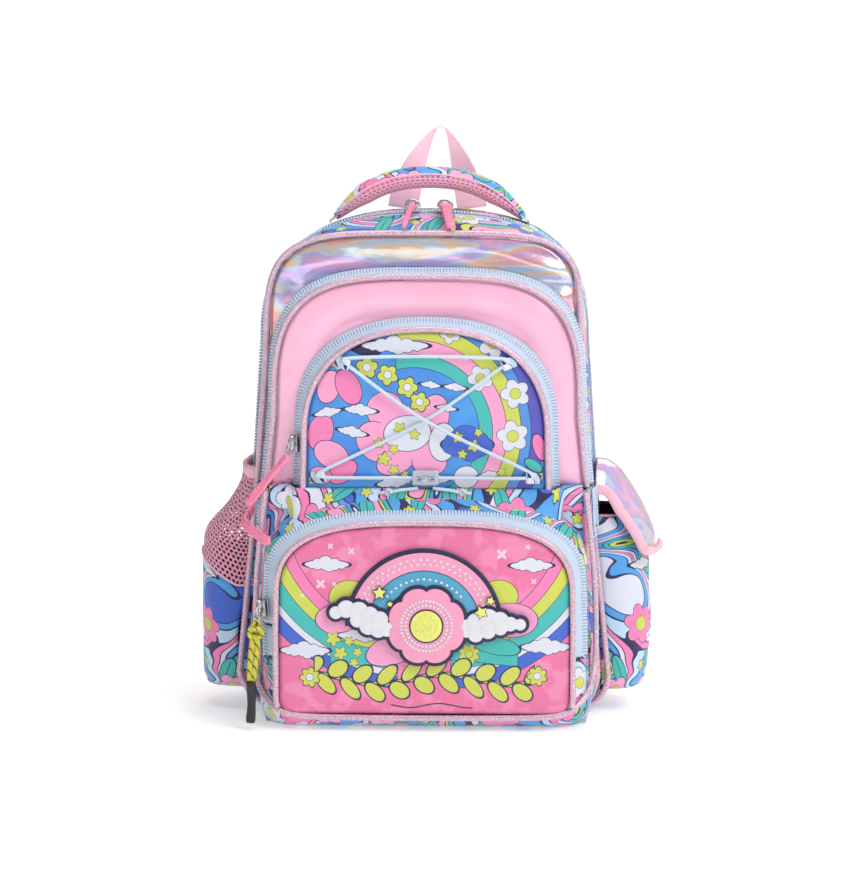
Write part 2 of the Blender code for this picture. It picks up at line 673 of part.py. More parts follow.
def zip_sliders():
    """Each slider travels on its zip, and each pull swings on its slider."""
    for name, side in (("left", -1), ("right", 1)):
        centre = Vector((side * 0.0135, ZIP_Y, BODY_TOP + 0.0046))
        runner = slider("main_slider_" + name, centre, (0.014, 0.011, 0.0070))
        attach(body_empty("main_slider_" + name, centre), runner)
        path = smooth_path([(side * 0.0135, ZIP_Y - 0.0085, BODY_TOP + 0.0064),
                            (side * 0.0155, ZIP_Y - 0.022, BODY_TOP + 0.0022),
                            (side * 0.0195, ZIP_Y - 0.046, BODY_TOP - 0.0075)], 3)
        pull = tube("main_pull_" + name, path, 0.0026, "pink_rubber")
        attach(body_empty("main_pull_" + name, path[0]), pull)

    centre = Vector((-0.1072, -0.0520, 0.2290))
    runner = slider("bungee_slider", centre, (0.0055, 0.0100, 0.0150), rotation=(0, 0, math.radians(-50)))
    attach(body_empty("bungee_slider", centre), runner)
    path = smooth_path([(-0.1125, -0.0600, 0.2205), (-0.1290, -0.0645, 0.2010), (-0.1460, -0.0670, 0.1800)],
                       3)
    pull = strip("bungee_pull", path, Vector((0.7, 0, 0.7)), 0.0075, 0.0026, "pink_rubber")
    attach(body_empty("bungee_pull", path[0]), pull)

    centre = Vector((-0.1396, -0.0300, 0.1830))
    runner = slider("second_slider", centre, (0.0055, 0.0100, 0.0150), rotation=(0, 0, math.radians(-10)))
    attach(body_empty("second_slider", centre), runner)
    path = smooth_path([(-0.1430, -0.0385, 0.1730), (-0.1485, -0.0610, 0.1650), (-0.1260, -0.0905, 0.1525)],
                       3)
    pull = strip("second_pull", path, Vector((0.3, 0.5, 0.9)), 0.0075, 0.0026, "pink_rubber")
    attach(body_empty("second_pull", path[0]), pull)

    centre = Vector((-0.1322, -0.0905, 0.0990))
    runner = slider("pocket_slider", centre, (0.0055, 0.0100, 0.0150), rotation=(0, 0, math.radians(-42)))
    attach(body_empty("pocket_slider", centre), runner)
    path = smooth_path([(-0.1360, -0.0960, 0.0890), (-0.1400, -0.0965, 0.0600), (-0.1420, -0.0960, 0.0045)],
                       4)
    pull = tube("pocket_pull", path, 0.0042, "yellow_cord")
    attach(body_empty("pocket_pull", path[0]), pull)


# ---------------------------------------------------------------- handle, loop and shoulder straps


def carry_handle():
    """A padded handle that narrows to flat feet sewn on the top gusset."""
    y, foot_z, span, rise, steps = 0.048, 0.4060, 0.078, 0.0320, 14
    path, wide, thick = [], [], []
    for step in range(steps + 1):
        t = -1 + 2 * step / steps
        swell = min(1.0, 3.2 * (1 - abs(t))) ** 0.8
        path.append(Vector((span * t, y, foot_z + rise * (1 - abs(t) ** 2.4))))
        wide.append(0.0160 + 0.0100 * swell)
        thick.append(0.0050 + 0.0140 * swell)
    handle = strip("carry_handle", path, Vector((0, 1, 0)), wide, thick, "printed_fabric")
    attach(body_empty("carry_handle", (0, y, foot_z)), handle)


def hang_loop():
    """Webbing sewn flat at both feet, so each leg twists a quarter turn up to the top."""
    centre_x, y, foot_z, top_z, span, steps = 0.0030, BACK_Y - 0.0020, 0.4104, 0.4795, 0.0297, 14
    path, across = [], []
    for step in range(steps + 1):
        angle = math.pi * step / steps
        path.append(Vector((centre_x - span * math.cos(angle) * (1 - 0.35 * math.sin(angle)), y,
                            foot_z + (top_z - foot_z) * math.sin(angle) ** 0.85)))
        turn = math.radians(86) * math.sin(angle) ** 1.3
        across.append(Vector((math.cos(turn) if 2 * step <= steps else -math.cos(turn), math.sin(turn), 0)))
    webbing = strip("hang_loop", path, across, 0.025, 0.0016, "pink_webbing")
    attach(body_empty("hang_loop", (centre_x, y, foot_z)), webbing)


STRAP_PIVOT = (0.0980, 0.3915)  # y and z


def shoulder_straps():
    for name, side in (("left", -1), ("right", 1)):
        pivot = (side * 0.045, *STRAP_PIVOT)
        route = [(0.045, 0.0985, 0.3900), (0.047, 0.1060, 0.3600), (0.055, 0.1095, 0.3100),
                 (0.068, 0.1105, 0.2500), (0.080, 0.1100, 0.1900), (0.086, 0.1085, 0.1420)]
        path = smooth_path([(side * x, y, z) for x, y, z in route], 2)
        widths = [0.062 - 0.016 * i / (len(path) - 1) for i in range(len(path))]
        pad = strip("strap_pad_" + name, path, Vector((1, 0, 0)), widths, 0.0090, "pink_gloss_laminate")
        x, y = side * 0.0880, 0.1080
        lock = block("ladder_lock_" + name, (x, y, 0.1270), (0.030, 0.0045, 0.0240), "pink_plastic",
                     bevel=0.001)
        for offset in (0.0055, -0.0055):
            bpy.ops.mesh.primitive_cube_add(size=1, location=(x, y, 0.1270 + offset))
            slot = bpy.context.object
            slot.name = "ladder_slot"
            slot.scale = (0.0225, 0.02, 0.0060)
            bpy.ops.object.transform_apply(location=False, rotation=False, scale=True)
            cut(lock, slot)
        route = [(0.0890, 0.1040, 0.1240), (0.1050, 0.0995, 0.0900), (0.1180, 0.0940, 0.0620),
                 (0.1230, 0.0900, 0.0430)]
        path = [Vector((side * px, py, pz)) for px, py, pz in route]
        webbing = strip("strap_webbing_" + name, path, Vector((1, 0, 0)), 0.020, 0.0016, "pink_webbing")
        attach(body_empty("strap_" + name, pivot), pad, lock, webbing)
        block("strap_anchor_" + name, (side * 0.1240, BACK_Y + 0.0058, 0.0310), (0.028, 0.0060, 0.0180),
              "printed_fabric", bevel=0.0015)


main_well()
back()
lower_pocket()
side_pockets()
side_flap()
front_shell()
second_shell()
bungee_shell()
pocket_front()
zip_sliders()
carry_handle()
hang_loop()
shoulder_straps()
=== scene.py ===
"""The looks of the school backpack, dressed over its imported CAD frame.

It runs top to bottom: outlines, shader graphs and looks, mesh helpers, studio, then the bag piece by piece.

Everything is in metres in the CAD's frame: +Z up, the front at -Y. Lengths inside the print helpers are
in millimetres, because a print is drawn at that scale.
"""

import math
import random

import bmesh
import bpy
from mathutils import Matrix, Vector, noise


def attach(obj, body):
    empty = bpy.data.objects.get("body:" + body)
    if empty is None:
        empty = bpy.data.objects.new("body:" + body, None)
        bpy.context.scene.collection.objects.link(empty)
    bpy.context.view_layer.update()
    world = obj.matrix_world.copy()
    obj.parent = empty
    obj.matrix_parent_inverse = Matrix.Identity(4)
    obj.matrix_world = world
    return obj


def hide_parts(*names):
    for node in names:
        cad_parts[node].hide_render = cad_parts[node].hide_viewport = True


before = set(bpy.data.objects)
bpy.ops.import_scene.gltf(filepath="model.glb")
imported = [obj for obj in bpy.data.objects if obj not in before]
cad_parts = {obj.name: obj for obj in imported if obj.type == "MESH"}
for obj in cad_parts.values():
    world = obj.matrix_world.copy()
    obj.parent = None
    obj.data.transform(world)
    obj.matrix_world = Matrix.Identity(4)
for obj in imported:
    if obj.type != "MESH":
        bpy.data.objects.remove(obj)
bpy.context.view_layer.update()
random.seed(7)
SIDES = (("left", -1), ("right", 1))


def clamped(value):
    return max(0.0, min(1.0, value))


def turns(count):
    """Evenly spaced angles once round."""
    return [2 * math.pi * k / count for k in range(count)]


# ---------------------------------------------------------------- the bag's outlines, as in the CAD

HALF, WAIST, BODY_TOP, FOLD_Z = 0.150, 0.1455, 0.412, 0.192
BACK_Y, ZIP_Y, FRONT_Y = 0.083, 0.025, -0.013
SECOND_BASE_Y, SECOND_Y = -0.0158, -0.036
BUNGEE_BASE_Y, BUNGEE_Y = -0.0388, -0.057
WELL_FRONT_Y = -0.057
POCKET_BASE_Y, POCKET_ZIP_Y, POCKET_Y = -0.0598, -0.081, -0.0955
PIPING_R, PIPING_OUT = 0.0025, 0.0029
SEAM = 0.0004
CORNER = 20


def arch(low, slope, top, corner, power, z_low=FOLD_Z + 0.0004, grow=0.0):
    """(x, z) points up the left side, over a rounded top and down the right side."""
    shoulder = top - corner
    half = low - slope * (shoulder - FOLD_Z) + grow
    right = [(low - slope * (z_low - FOLD_Z) + grow, z_low)]
    for step in range(CORNER + 1):
        angle = math.pi / 2 * step / CORNER
        x = half * max(math.cos(angle), 0.0) ** (2 / power)
        right.append((x if step < CORNER else 0.0,
                      shoulder + (corner + grow) * math.sin(angle) ** (2 / power)))
    return [(-x, z) for x, z in right[:-1]] + right[::-1]


def trough(half_top, half_low, z_top, z_low, radius, grow=0.0):
    """(x, z) points down the left side, round the bottom and up the right side."""
    half, bend, low = half_low + grow, radius + grow, z_low - grow
    left = [(-half_top - grow, z_top)]
    for step in range(CORNER):
        angle = math.pi / 2 * step / (CORNER - 1)
        left.append((-half + bend * (1 - math.cos(angle)), low + bend * (1 - math.sin(angle))))
    return left + [(-x, z) for x, z in left][::-1]


def ring(low, slope, top, corner, power, half_low, z_low, radius, grow=0.0):
    upper = arch(low, slope, top, corner, power, FOLD_Z * 0.45, grow)
    return upper + trough(half_low, half_low, 0.0, z_low, radius, grow)[1:-1][::-1]


def lean(x, z):
    """A filled bag is never quite even: the right side of the body stands a little further in."""
    if x <= 0:
        return x
    rise = clamped((z - 0.085) / 0.10)
    return x * (1 - 0.050 * rise * rise * (3 - 2 * rise) * clamped((0.405 - z) / 0.06))


def swell_out(x, y, z):
    """The well's lower left corner swells out past the side pocket's front edge."""
    near = clamped((0.030 - y) / 0.043) * clamped((-x - 0.10) / 0.045)
    return lean(x, z) - 0.0135 * near * math.exp(-((z - 0.064) / 0.036) ** 2)


def waist(t):
    """The body's half width at the fold, t of the way from the main zip to its front edge."""
    return WAIST - 0.0078 * t


def hips(t):
    """Its half width at the bottom."""
    return HALF - 0.001 - 0.002 * t


def second_waist(t):
    return 0.1375 - 0.0090 * t


def second_hips(t):
    return 0.1430 - 0.0065 * t


def body_outline(y, grow=0.0):
    if y >= ZIP_Y:
        t = (y - ZIP_Y) / (BACK_Y - ZIP_Y)
        made = arch(WAIST, 0.062 + 0.004 * t, BODY_TOP - 0.003 * t, 0.106, 2.5, grow=grow)
    else:
        t = (ZIP_Y - y) / (ZIP_Y - FRONT_Y)
        made = arch(waist(t), 0.062 + 0.016 * t, BODY_TOP - 0.016 * t, 0.106 - 0.004 * t, 2.5 + 1.9 * t,
                    grow=grow)
    return [(lean(x, z), z) for x, z in made]


def well_outline(y, grow=0.0, z_low=0.0):
    t = max(0.0, (ZIP_Y - y) / (ZIP_Y - FRONT_Y))
    made = trough(waist(t), hips(t), FOLD_Z - 0.0002, z_low, 0.032 - z_low, grow)
    return [(swell_out(x, y, z), z) for x, z in made]


def second_well_outline(t, grow=0.0, z_low=0.0):
    return trough(second_waist(t), second_hips(t), FOLD_Z - 0.0002, z_low, 0.032 - z_low, grow)


def second_outline(t, grow=0.0):
    return arch(second_waist(t), 0.101, 0.371 - 0.0085 * t, 0.112, 3.4, grow=grow)


def bungee_outline(t, grow=0.0):
    return arch(0.1100 - 0.0125 * t, 0.02, 0.333 - 0.0114 * t, 0.088 - 0.002 * t, 2.35, grow=grow)


def pocket_outline(y, grow=0.0):
    t = (POCKET_BASE_Y - y) / (POCKET_BASE_Y - POCKET_Y)
    inward = 0.0115 * max(0.0, (t - 0.55) / 0.45)
    return ring(0.1300 - inward, 0.030 - 0.005 * t, 0.1880 - 0.0165 * t, 0.066 - 0.002 * t, 3.0,
                0.1330 - inward, 0.0062 + 0.0040 * t, 0.030 - 0.010 * t, grow)


def pocket_front_outline(grow=0.0):
    return ring(0.1160, 0.020, 0.168, 0.062, 3.0, 0.1180, 0.0141, 0.012, grow)


# ---------------------------------------------------------------- shader graphs


class Value:
    """A number in a shader graph. Arithmetic on it adds Math nodes."""

    def __init__(self, graph, socket):
        self.graph, self.socket = graph, socket

    def __add__(self, other):
        return self.graph.math("ADD", self, other)

    def __sub__(self, other):
        return self.graph.math("SUBTRACT", self, other)

    def __rsub__(self, other):
        return self.graph.math("SUBTRACT", other, self)

    def __mul__(self, other):
        return self.graph.math("MULTIPLY", self, other)

    def __truediv__(self, other):
        return self.graph.math("DIVIDE", self, other)

    def __lt__(self, other):
        return self.graph.math("LESS_THAN", self, other)

    def __gt__(self, other):
        return self.graph.math("GREATER_THAN", self, other)

    __radd__ = __add__
    __rmul__ = __mul__


class Graph:
    """One material's shader graph, built by calls."""

    def __init__(self, name):
        self.material = bpy.data.materials.new(name)
        self.material.use_nodes = True
        self.tree = self.material.node_tree
        self.tree.nodes.clear()
        self.output = self.tree.nodes.new("ShaderNodeOutputMaterial")
        self.shader = self.tree.nodes.new("ShaderNodeBsdfPrincipled")
        self.tree.links.new(self.shader.outputs[0], self.output.inputs[0])

    def node(self, kind, **settings):
        made = self.tree.nodes.new("ShaderNode" + kind)
        for key, value in settings.items():
            setattr(made, key, value)
        return made

    def put(self, socket, value):
        if isinstance(value, Value):
            value = value.socket
        if isinstance(value, bpy.types.NodeSocket):
            self.tree.links.new(value, socket)
        elif value is not None:
            socket.default_value = value

    def math(self, operation, *values):
        made = self.node("Math", operation=operation)
        for socket, value in zip(made.inputs, values):
            self.put(socket, value)
        return Value(self, made.outputs[0])

    def vector(self, operation, *values):
        made = self.node("VectorMath", operation=operation)
        for socket, value in zip(made.inputs, values):
            self.put(socket, value)
        out = 1 if operation in ("LENGTH", "DISTANCE", "DOT_PRODUCT") else 0
        return Value(self, made.outputs[out]) if out else made.outputs[0]

    def split(self, vector):
        made = self.node("SeparateXYZ")
        self.put(made.inputs[0], vector)
        return [Value(self, made.outputs[i]) for i in range(3)]

    def join(self, x, y, z=0.0):
        made = self.node("CombineXYZ")
        for socket, value in zip(made.inputs, (x, y, z)):
            self.put(socket, value)
        return made.outputs[0]

    def mix(self, factor, a, b):
        made = self.node("Mix", data_type="RGBA")
        self.put(made.inputs[0], factor)
        for socket, value in ((made.inputs[6], a), (made.inputs[7], b)):
            self.put(socket, (*value, 1) if isinstance(value, tuple) and len(value) == 3 else value)
        return made.outputs[2]

    def smooth(self, value, low, high, to_low=0.0, to_high=1.0):
        made = self.node("MapRange", interpolation_type="SMOOTHSTEP")
        for socket, number in zip(made.inputs, (value, low, high, to_low, to_high)):
            self.put(socket, number)
        return Value(self, made.outputs[0])

    def noise(self, vector, scale, detail=2.0, rough=0.5, distortion=0.0):
        made = self.node("TexNoise")
        for name, value in (("Vector", vector), ("Scale", scale), ("Detail", detail), ("Roughness", rough),
                            ("Distortion", distortion)):
            self.put(made.inputs[name], value)
        return Value(self, made.outputs[0])

    def cells(self, vector, scale, randomness=1.0):
        made = self.node("TexVoronoi")
        for name, value in (("Vector", vector), ("Scale", scale), ("Randomness", randomness)):
            self.put(made.inputs[name], value)
        return Value(self, made.outputs["Distance"]), made.outputs[1]

    def ramp(self, value, stops, kind="LINEAR"):
        made = self.node("ValToRGB")
        made.color_ramp.interpolation = kind
        while len(made.color_ramp.elements) < len(stops):
            made.color_ramp.elements.new(1.0)
        for element, (position, colour) in zip(made.color_ramp.elements, stops):
            element.position, element.color = position, (*colour, 1)
        self.put(made.inputs[0], value)
        return made.outputs[0]

    def place(self, source="Object"):
        """The surface's own coordinates, in millimetres."""
        made = self.node("TexCoord").outputs[source]
        return self.vector("MULTIPLY", made, (1000.0, 1000.0, 1000.0))

    def bump(self, height, distance, strength=1.0, after=None):
        made = self.node("Bump")
        self.put(made.inputs["Height"], height)
        made.inputs["Distance"].default_value = distance
        made.inputs["Strength"].default_value = strength
        if after is not None:
            self.put(made.inputs["Normal"], after)
        return made.outputs[0]

    def finish(self, colour, roughness=0.5, normal=None, **sockets):
        self.put(self.shader.inputs["Base Color"], (*colour, 1) if isinstance(colour, tuple) else colour)
        self.put(self.shader.inputs["Roughness"], roughness)
        if normal is not None:
            self.put(self.shader.inputs["Normal"], normal)
        for name, value in sockets.items():
            self.put(self.shader.inputs[name.replace("_", " ")], value)
        return self.material


NAVY = (0.012, 0.012, 0.09)
BLUE = (0.045, 0.13, 0.62)
SKY = (0.075, 0.36, 0.80)
PALE = (0.52, 0.72, 0.90)
WHITE = (0.72, 0.74, 0.84)
TEAL = (0.05, 0.50, 0.46)
PINK = (0.90, 0.22, 0.48)
ROSE = (0.93, 0.36, 0.60)
LIME = (0.62, 0.67, 0.09)
ZIP = (0.56, 0.68, 0.82)


class Print:
    """Flat shapes with dark outlines, painted one over another on a plane. Sizes are in millimetres."""

    def __init__(self, graph, plane, ground, line=0.7):
        self.graph, self.plane, self.colour, self.line = graph, plane, ground, line

    def lay(self, distance, colour, line=None):
        """Paints where distance is below 0, with the outline just outside."""
        line = self.line if line is None else line
        if line:
            self.colour = self.graph.mix(distance < line, self.colour, NAVY)
        self.colour = self.graph.mix(distance < 0.0, self.colour, colour)

    def local(self, centre, size, turn=0.0):
        g = self.graph
        moved = g.vector("SUBTRACT", self.plane, (*centre, 0.0)) if isinstance(centre, tuple) else \
            g.vector("SUBTRACT", self.plane, centre)
        if not isinstance(turn, (int, float)) or turn:
            rotate = g.node("VectorRotate", rotation_type="Z_AXIS")
            g.put(rotate.inputs["Vector"], moved)
            g.put(rotate.inputs["Angle"], turn)
            moved = rotate.outputs[0]
        return g.vector("MULTIPLY", moved, (1 / size[0], 1 / size[1], 0.0))

    def polar(self, local, lobes, depth, kind):
        """How far outside a star or flower of radius 1 a point is."""
        g = self.graph
        x, y, _ = g.split(local)
        angle = g.math("ARCTAN2", y, x) + math.pi
        if kind == "star":
            wave = g.math("PINGPONG", angle, math.pi / lobes) * (lobes / math.pi)
        else:
            wave = g.math("ABSOLUTE", g.math("SINE", angle * (lobes / 2)))
        return g.vector("LENGTH", local) - g.math("MULTIPLY_ADD", wave, depth, 1 - depth)

    def circle(self, centre, radius, colour, line=None):
        distance = self.graph.vector("DISTANCE", self.plane, (*centre, 0.0)) - radius
        self.lay(distance, colour, line)

    def arc(self, centre, bands, limit=None, line=None):
        """Bands round one centre, from the outermost: (outer radius, inner radius, colour)."""
        g = self.graph
        distance = g.vector("DISTANCE", self.plane, (*centre, 0.0))
        for outer, inner, colour in bands:
            middle, half = (outer + inner) / 2, (outer - inner) / 2
            band = g.math("ABSOLUTE", distance - middle) - half
            self.lay(band if limit is None else g.math("MAXIMUM", band, limit), colour, line)

    def flower(self, centre, radius, petals=5, colour=WHITE, heart=LIME, turn=0.3, line=None):
        shape = self.polar(self.local(centre, (radius, radius), turn), petals, 0.34, "flower") * radius
        self.lay(shape, colour, line)
        self.circle(centre, radius * 0.36, heart, 0.35)

    def star(self, centre, radius, colour=LIME, turn=0.2):
        self.lay(self.polar(self.local(centre, (radius, radius), turn), 5, 0.52, "star") * radius, colour)

    def sparkle(self, centre, radius, colour=(0.90, 0.64, 0.78)):
        self.lay(self.polar(self.local(centre, (radius, radius)), 4, 0.80, "star") * radius, colour, 0)

    def cloud(self, centre, size, colour=WHITE, turn=0.0, line=None):
        """A long low body with round humps above and below it."""
        g, (w, h) = self.graph, size
        local = self.local(centre, (1.0, 1.0), turn)
        shape = (g.vector("LENGTH", g.vector("MULTIPLY", local, (1 / w, 1.8 / h, 0.0))) - 1.0) * (h * 0.55)
        for x, y, r in ((-0.05, 0.20, 0.92), (-0.42, 0.05, 0.72), (0.36, 0.02, 0.76), (0.10, -0.30, 0.66),
                        (-0.68, -0.10, 0.42), (0.68, -0.12, 0.44)):
            hump = g.vector("DISTANCE", local, (x * w, y * h, 0.0)) - r * h
            shape = g.math("MINIMUM", shape, hump)
        self.lay(shape, colour, line)

    def oval(self, centre, size, colour, turn=0.0, line=None):
        distance = (self.graph.vector("LENGTH", self.local(centre, size, turn)) - 1.0) * min(size)
        self.lay(distance, colour, line)


def weave(graph, place, pitch=0.9):
    """The height of a plain weave, with threads pitch millimetres apart."""
    x, y, z = graph.split(place)
    rate = 2 * math.pi / pitch
    across = graph.math("SINE", (x + y * 0.6) * rate)
    along = graph.math("SINE", (z + y * 0.8) * rate)
    return across * along


def cloth_normal(graph, place):
    """Soft folds with a plain weave over them."""
    soft = graph.bump(graph.noise(place, 0.03, 3.0, 0.55, 0.6), 0.0012, 0.5)
    return graph.bump(weave(graph, place), 0.00012, 0.25, soft)


def soiled(graph, place, colour, amount=0.07):
    """Slight darker and lighter patches, so that no cloth is one even colour."""
    tone = graph.noise(place, 0.012, 4.0, 0.6)
    return graph.mix(graph.smooth(tone, 0.35, 0.75, 0.0, amount), colour, (0.25, 0.16, 0.22))


def scatter(paint, plane, cell, seed, share, draw):
    """Draws one shape in a share of the cells of a grid, each moved and turned at random."""
    g = paint.graph
    scaled = g.vector("ADD", g.vector("MULTIPLY", plane, (1 / cell, 1 / cell, 0.0)),
                      (seed * 0.37, seed * 0.71, 0.0))
    tile = g.vector("FLOOR", scaled)
    pick = g.node("TexWhiteNoise", noise_dimensions="2D")
    g.put(pick.inputs["Vector"], g.vector("ADD", tile, (seed, seed * 2.0, 0.0)))
    chance, first, second = g.split(pick.outputs["Color"])
    shift = g.join(first * 0.36 - 0.18, second * 0.36 - 0.18)
    local = g.vector("SUBTRACT", g.vector("SUBTRACT", g.vector("SUBTRACT", scaled, tile), (0.5, 0.5, 0.0)),
                     shift)
    local = g.vector("MULTIPLY", local, (cell, cell, 0.0))
    keep, plane_before = chance < share, paint.plane
    before = paint.colour
    paint.plane = local
    draw(paint, first * 6.28, second)
    paint.colour = g.mix(keep, before, paint.colour)
    paint.plane = plane_before


def allover(graph, plane, ends=BLUE):
    """The bag's print: flowing patches of colour with flowers, leaves, clouds and stars over them."""
    flow = graph.noise(graph.vector("ADD", plane, (311.0, 77.0, 0.0)), 0.0125, 1.0, 0.45, 1.1)
    stops, edge = [], 0.010
    bands = ((0.0, ends), (0.34, SKY), (0.41, PALE), (0.455, PINK), (0.495, WHITE), (0.535, SKY),
             (0.575, TEAL), (0.615, LIME), (0.645, ROSE), (0.70, ends))
    for position, colour in bands:
        if position:
            stops.append((position - edge / 2, NAVY))
        stops.append((position + (edge / 2 if position else 0.0), colour))
    paint = Print(graph, plane, graph.ramp(flow, stops, "CONSTANT"))

    def leaf(p, turn, tone):
        p.oval((0.0, 0.0), (15.0, 5.5), TEAL, turn)
        p.oval((0.0, 0.0), (13.0, 0.35), NAVY, turn, 0)

    def cloud(p, turn, tone):
        p.cloud((0.0, 0.0), (15.0, 5.0))

    def flower(p, turn, tone):
        p.flower((0.0, 0.0), 13.0, 5, graph.mix(tone > 0.5, ROSE, WHITE), LIME, turn)

    def bloom(p, turn, tone):
        p.flower((0.0, 0.0), 17.0, 6, graph.mix(tone > 0.6, PINK, BLUE), LIME, turn)

    def star(p, turn, tone):
        p.star((0.0, 0.0), 5.2, LIME, turn)

    scatter(paint, plane, 62.0, 11.0, 0.55, cloud)
    scatter(paint, plane, 44.0, 3.0, 0.50, leaf)
    scatter(paint, plane, 58.0, 5.0, 0.60, bloom)
    scatter(paint, plane, 47.0, 19.0, 0.45, flower)
    scatter(paint, plane, 31.0, 7.0, 0.40, star)
    return paint.colour


def printed_cloth(name="printed_cloth", ends=BLUE):
    graph = Graph(name)
    place = graph.place("UV")
    colour = soiled(graph, place, allover(graph, place, ends))
    return graph.finish(colour, 0.55, cloth_normal(graph, graph.place()), Sheen_Weight=0.15)


def panel_plane(graph):
    """X and Z as a flat plane, in millimetres."""
    x, _, z = graph.split(graph.place())
    return graph.join(x, z)


def bungee_print():
    """Sky with a rainbow round the right side, clouds, pink blossoms, daisies and stars."""
    graph = Graph("bungee_panel_print")
    plane = panel_plane(graph)
    x, _, _ = graph.split(plane)
    sky = graph.mix(graph.smooth(graph.noise(plane, 0.02, 2.0), 0.35, 0.65), (0.05, 0.26, 0.74), SKY)
    p = Print(graph, plane, sky, 0.55)
    right = graph.math("SUBTRACT", -24.0, x)
    p.arc((-9.3, 240.0), ((106.0, 95.0, (0.09, 0.09, 0.50)), (95.0, 87.0, (0.08, 0.28, 0.72)),
                          (87.0, 75.3, LIME), (75.3, 63.6, ROSE), (63.6, 53.4, TEAL)), right)
    p.oval((-51.0, 311.0), (15.0, 7.5), NAVY, 0.3)
    p.cloud((-25.0, 311.0), (27.0, 7.5))
    p.oval((-79.0, 277.0), (9.0, 13.5), ROSE, 0.3)
    p.oval((-63.0, 277.0), (9.5, 15.0), PINK, -0.45)
    p.oval((-86.0, 240.0), (10.0, 15.0), PINK, 0.3)
    p.oval((-77.0, 221.0), (15.0, 10.5), ROSE, 0.5)
    p.oval((-68.0, 207.0), (13.0, 8.0), PINK, -0.6)
    p.oval((-86.0, 204.0), (9.0, 7.0), ROSE, 0.2)
    # One big blossom: four round petals and a pale heart
    for cx, cz, w, h in ((-33.0, 258.0, 15.0, 15.0), (-40.0, 232.0, 15.0, 18.0), (-24.0, 217.0, 17.0, 11.0),
                         (3.0, 216.0, 14.0, 12.0), (7.0, 254.0, 12.0, 17.0)):
        p.oval((cx, cz), (w, h), ROSE, cx * 0.02)
    p.oval((-14.0, 239.0), (25.0, 22.0), ROSE, 0.0, 0)
    p.oval((-15.0, 239.0), (19.0, 14.5), WHITE, -0.1)
    p.oval((14.0, 232.0), (11.0, 15.5), WHITE, 0.1)
    p.cloud((34.0, 230.0), (21.0, 14.0), BLUE)
    p.oval((33.0, 203.0), (10.0, 9.0), WHITE, -0.3)
    for cx, cz, w in ((4.0, 279.0, 8.0), (24.0, 277.0, 9.0), (17.0, 260.0, 8.0), (-53.0, 258.0, 13.0),
                      (-80.0, 256.0, 11.0), (-60.0, 240.0, 12.0), (-25.0, 199.0, 15.0), (6.0, 201.0, 13.0),
                      (52.0, 205.0, 9.0)):
        p.cloud((cx, cz), (w, w * 0.36), WHITE, 0.2 * math.sin(cz))
    for cx, cz, r in ((-48.0, 293.0, 9.0), (-31.0, 287.0, 8.5), (-15.0, 277.0, 8.5), (-5.0, 265.0, 8.0)):
        p.flower((cx, cz), r, 5, LIME, WHITE, cx, 0.9)
    for cx, cz, r in ((20.0, 321.0, 8.5), (55.0, 313.0, 12.0), (44.5, 284.5, 10.5), (73.0, 272.0, 12.0),
                      (71.0, 237.0, 13.0), (-72.0, 298.0, 7.0)):
        p.flower((cx, cz), r, 5, WHITE, LIME, cz)
    for cx, cz, r in ((-38.0, 231.0, 4.6), (-34.0, 218.0, 6.0), (-26.0, 226.0, 4.4), (-26.0, 209.0, 4.6),
                      (-17.0, 205.0, 3.4), (-21.0, 243.0, 5.4), (-9.0, 238.0, 4.6), (26.0, 236.0, 5.0),
                      (39.0, 229.0, 5.6), (30.0, 222.0, 4.2), (43.0, 240.0, 3.6), (62.0, 207.0, 4.2)):
        p.star((cx, cz), r, LIME, cx)
    p.oval((93.0, 228.0), (5.0, 11.0), PINK, -0.3)
    p.oval((88.0, 213.0), (8.0, 4.0), TEAL, 0.6)
    place = graph.place()
    normal = graph.bump(graph.noise(place, 0.05, 3.0, 0.6, 0.4), 0.0016, 0.5)
    normal = graph.bump(weave(graph, place, 0.8), 0.0001, 0.2, normal)
    return graph.finish(soiled(graph, place, p.colour, 0.06), 0.40, normal, Coat_Weight=0.15,
                        Coat_Roughness=0.3)


